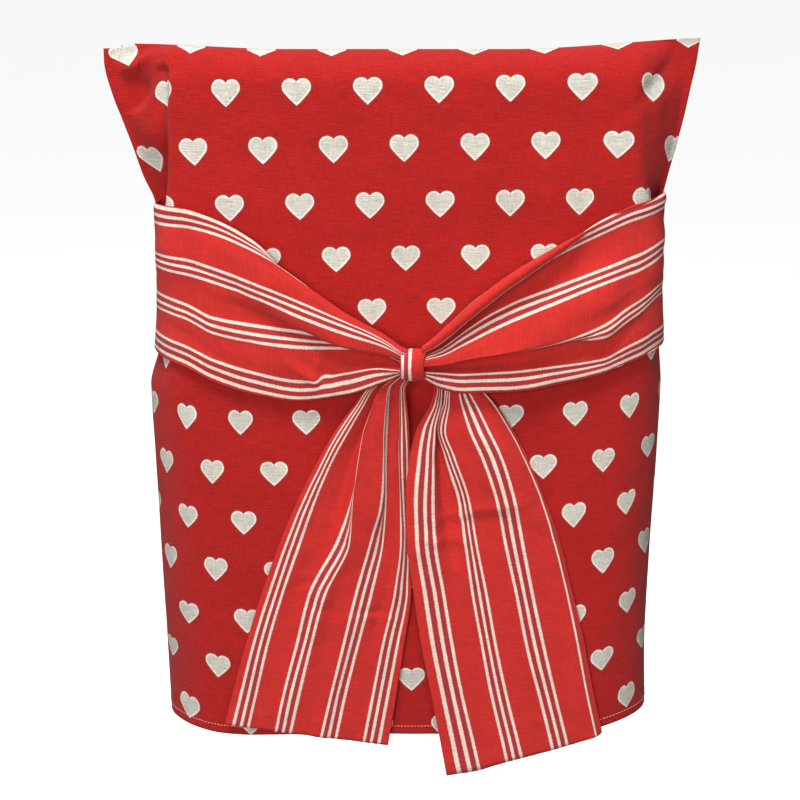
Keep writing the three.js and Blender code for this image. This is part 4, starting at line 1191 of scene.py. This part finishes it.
def hem_stitches(name, grid, outward, v):
    """A row of stitches just above the hem of one face."""
    row = int(np.argmin(np.abs(v[:, 0] - (PANEL_LENGTH - STITCH_LINE))))
    length = arc_length(grid[row])
    starts = np.arange(STITCH_START, length[-1] - STITCH_END, STITCH_PITCH)

    def at(s, values):
        return np.stack([np.interp(s, length, values[row, :, k]) for k in range(3)], axis=-1)

    obj = stitch_mesh(name, at(starts, grid), at(starts + STITCH_LENGTH, grid), at(starts, outward),
                      *cloth_materials("Hem thread"))
    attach(obj, "root")
    return obj


def panel_with_hem(side, facing, folds, ears, seed):
    """A panel and its stitches, which take the place of one solid."""
    obj, *grids = cover_cloth(side + "_panel", facing, folds, ears, seed)
    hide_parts("cover_" + side + "_panel")
    stitches = hem_stitches(side + "_hem_stitches", *grids)
    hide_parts("cover_" + side + "_panel")


class COVER_OT_tied_panel(bpy.types.Operator):
    """Builds the face of the bag that the sash is tied over, with its hem"""
    bl_idname = "cover.tied_panel"
    bl_label = "Tied panel"

    def execute(self, context):
        panel_with_hem("tied", -1, TIED_FOLDS, TIED_EARS, 11)
        return {"FINISHED"}


class COVER_OT_seat_panel(bpy.types.Operator):
    """Builds the face of the bag on the seat's side, with its hem"""
    bl_idname = "cover.seat_panel"
    bl_label = "Seat panel"

    def execute(self, context):
        panel_with_hem("seat", 1, SEAT_FOLDS, SEAT_EARS, 23)
        return {"FINISHED"}


STRIP_PROBE = (20, 60, -1)      # row and column at which a strip's way round is told; it faces -Y
# Wrinkles of a strip: how much they are stretched across and down, their size and their share.
STRIP_WRINKLES = ((1.0, 5.0, 9, 1.0), (1.6, 1.2, 11, 0.6))
SEAM_FADE, END_FADE = 30.0, 6.0


def strip_object(side, rows, folds, seed):
    """One strip of striped cotton from its rows of points, the seam end first."""
    sizes = bpy.context.scene.cover_sizes
    grid = np.concatenate(rows)
    along = arc_length(grid[:, len(STRIP_LINES) // 2])
    u, v = np.meshgrid(STRIP_LINES, along)
    small = sum(share * soft_noise(u / wide, v / long, size, seed + k)
                for k, (wide, long, size, share) in enumerate(STRIP_WRINKLES))
    small = small * smooth(v / SEAM_FADE) * smooth((along[-1] - v) / END_FADE)
    lift = sizes.wrinkle / MM * small + fold_height(u, v, folds)
    grid = grid + outward_normals(grid, *STRIP_PROBE) * lift[..., None]
    inward = -outward_normals(grid, *STRIP_PROBE) * sizes.strip_cloth / MM
    obj = cloth_mesh("sash_" + side, grid, inward, np.stack([u, v], axis=-1),
                     cloth_materials("Striped cotton", "Striped cotton " + side + " reverse"))
    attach(obj, "root")
    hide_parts("sash_" + side + "_strip")


class COVER_OT_left_strip(bpy.types.Operator):
    """Builds the strip from the left-hand seam: its band, the core of the knot and the right tail"""
    bl_idname = "cover.left_strip"
    bl_label = "Left sash strip"

    def execute(self, context):
        band = band_rows(-1, LEFT_BAND, BAND_AT)
        tail = tail_rows(RIGHT_TAIL, TAIL_AT)
        core = bridge_rows(band[-1], tail[0], 12, (0, -2, 2))
        strip_object("left", [band, core, tail], LEFT_STRIP_FOLDS, 31)
        return {"FINISHED"}


class COVER_OT_right_strip(bpy.types.Operator):
    """Builds the strip from the right-hand seam: its band, the wrap of the knot and the left tail"""
    bl_idname = "cover.right_strip"
    bl_label = "Right sash strip"

    def execute(self, context):
        band = band_rows(1, RIGHT_BAND, BAND_AT)
        wrap = wrap_rows(np.linspace(WRAP_FROM, WRAP_TO, WRAP_COUNT))
        tail = tail_rows(LEFT_TAIL, TAIL_AT)
        into = bridge_rows(band[-1], wrap[0], 10, (0, 0, 0))
        out_of = bridge_rows(wrap[-1], tail[0], 6, (0, 0, 0))
        strip_object("right", [band, into, wrap, out_of, tail], RIGHT_STRIP_FOLDS, 47)
        return {"FINISHED"}


# ------------------------------------------------------------------ stage
MIDDLE = (0.0, 0.0, -0.3)
# Square soft lights, each with its place, aim, size and power.
LIGHTS = {
    "key": ((-0.25, -0.85, 1.9), MIDDLE, 0.8, 61.0),
    "fill": ((1.1, -2.2, 0.3), MIDDLE, 1.2, 8.0),
    "low": ((-0.6, -2.2, 0.15), (0.0, 0.0, -0.62), 1.0, 32.0),
    "back": ((0.3, 1.8, 1.2), MIDDLE, 1.6, 12.0),
}
FLOOR_REACH, FLOOR_LEVEL, WORLD_LIGHT = 40.0, -1.06, 0.15
CAMERA_PLACE, CAMERA_FALL, CAMERA_SENSOR, CAMERA_LENS = (-0.003, -1.5549, 0.128), 15.68, 36.0, 81.0
WHITE = (1.0, 1.0, 1.0, 1.0)


def area_light(name, place, aim, size, power):
    data = bpy.data.lights.new(name, "AREA")
    data.shape = "SQUARE"
    data.size = size
    data.energy = power
    light = add_object(name, data)
    light.location = place
    light.rotation_euler = (Vector(aim) - Vector(place)).to_track_quat("-Z", "Y").to_euler()
    return light


def pale_floor():
    """A wide floor that glows a little and throws no colour back."""
    mesh = bpy.data.meshes.new("floor")
    corners = [(x, y, FLOOR_LEVEL) for x, y in ((-1, -1), (1, -1), (1, 1), (-1, 1))]
    mesh.from_pydata([(x * FLOOR_REACH, y * FLOOR_REACH, z) for x, y, z in corners], [], [(0, 1, 2, 3)])
    material, n = new_material("Floor")
    n.surface(Base_Color=(0.9, 0.9, 0.9, 1.0), Roughness=0.9, Emission_Color=WHITE, Emission_Strength=0.8)
    mesh.materials.append(material)
    floor = add_object("floor", mesh)
    floor.visible_diffuse = False
    return floor


class COVER_OT_stage(bpy.types.Operator):
    """Builds the pale floor, the soft studio lights and the camera"""
    bl_idname = "cover.stage"
    bl_label = "Stage"

    def execute(self, context):
        scene = context.scene
        floor = pale_floor()
        [area_light(name, *light) for name, light in LIGHTS.items()]
        world = bpy.data.worlds.new("Studio")
        scene.world = world
        world.use_nodes = True
        background = world.node_tree.nodes["Background"]
        background.inputs[0].default_value = WHITE
        background.inputs[1].default_value = WORLD_LIGHT
        data = bpy.data.cameras.new("camera")
        data.sensor_width = CAMERA_SENSOR
        data.lens = CAMERA_LENS
        camera = add_object("camera", data)
        camera.location = CAMERA_PLACE
        camera.rotation_euler = (math.radians(90 - CAMERA_FALL), 0.0, 0.0)
        scene.camera = camera
        scene.view_settings.view_transform = "Standard"
        return {"FINISHED"}


class COVER_PT_panel(bpy.types.Panel):
    """Sizes, colours and build steps of the chair cover"""
    bl_idname = "COVER_PT_panel"
    bl_label = "Chair Cover"
    bl_space_type = "VIEW_3D"
    bl_region_type = "UI"
    bl_category = "Chair Cover"

    def draw(self, context):
        for group in (context.scene.cover_sizes, context.scene.cover_colours):
            for name in group.__annotations__:
                self.layout.prop(group, name)
        for operator in OPERATORS:
            self.layout.operator(operator.bl_idname)


OPERATORS = (COVER_OT_tied_panel, COVER_OT_seat_panel, COVER_OT_left_strip, COVER_OT_right_strip,
             COVER_OT_stage)
CLASSES = (CoverSizes, CoverColours) + OPERATORS + (COVER_PT_panel,)


def register():
    for item in CLASSES:
        bpy.utils.register_class(item)
    bpy.types.Scene.cover_sizes = PointerProperty(type=CoverSizes)
    bpy.types.Scene.cover_colours = PointerProperty(type=CoverColours)


def unregister():
    del bpy.types.Scene.cover_sizes
    del bpy.types.Scene.cover_colours
    for item in reversed(CLASSES):
        bpy.utils.unregister_class(item)


def main():
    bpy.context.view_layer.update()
    register()
    for operator in OPERATORS:
        group, name = operator.bl_idname.split(".")
        getattr(getattr(bpy.ops, group), name)()


if __name__ == "__main__":
    main()
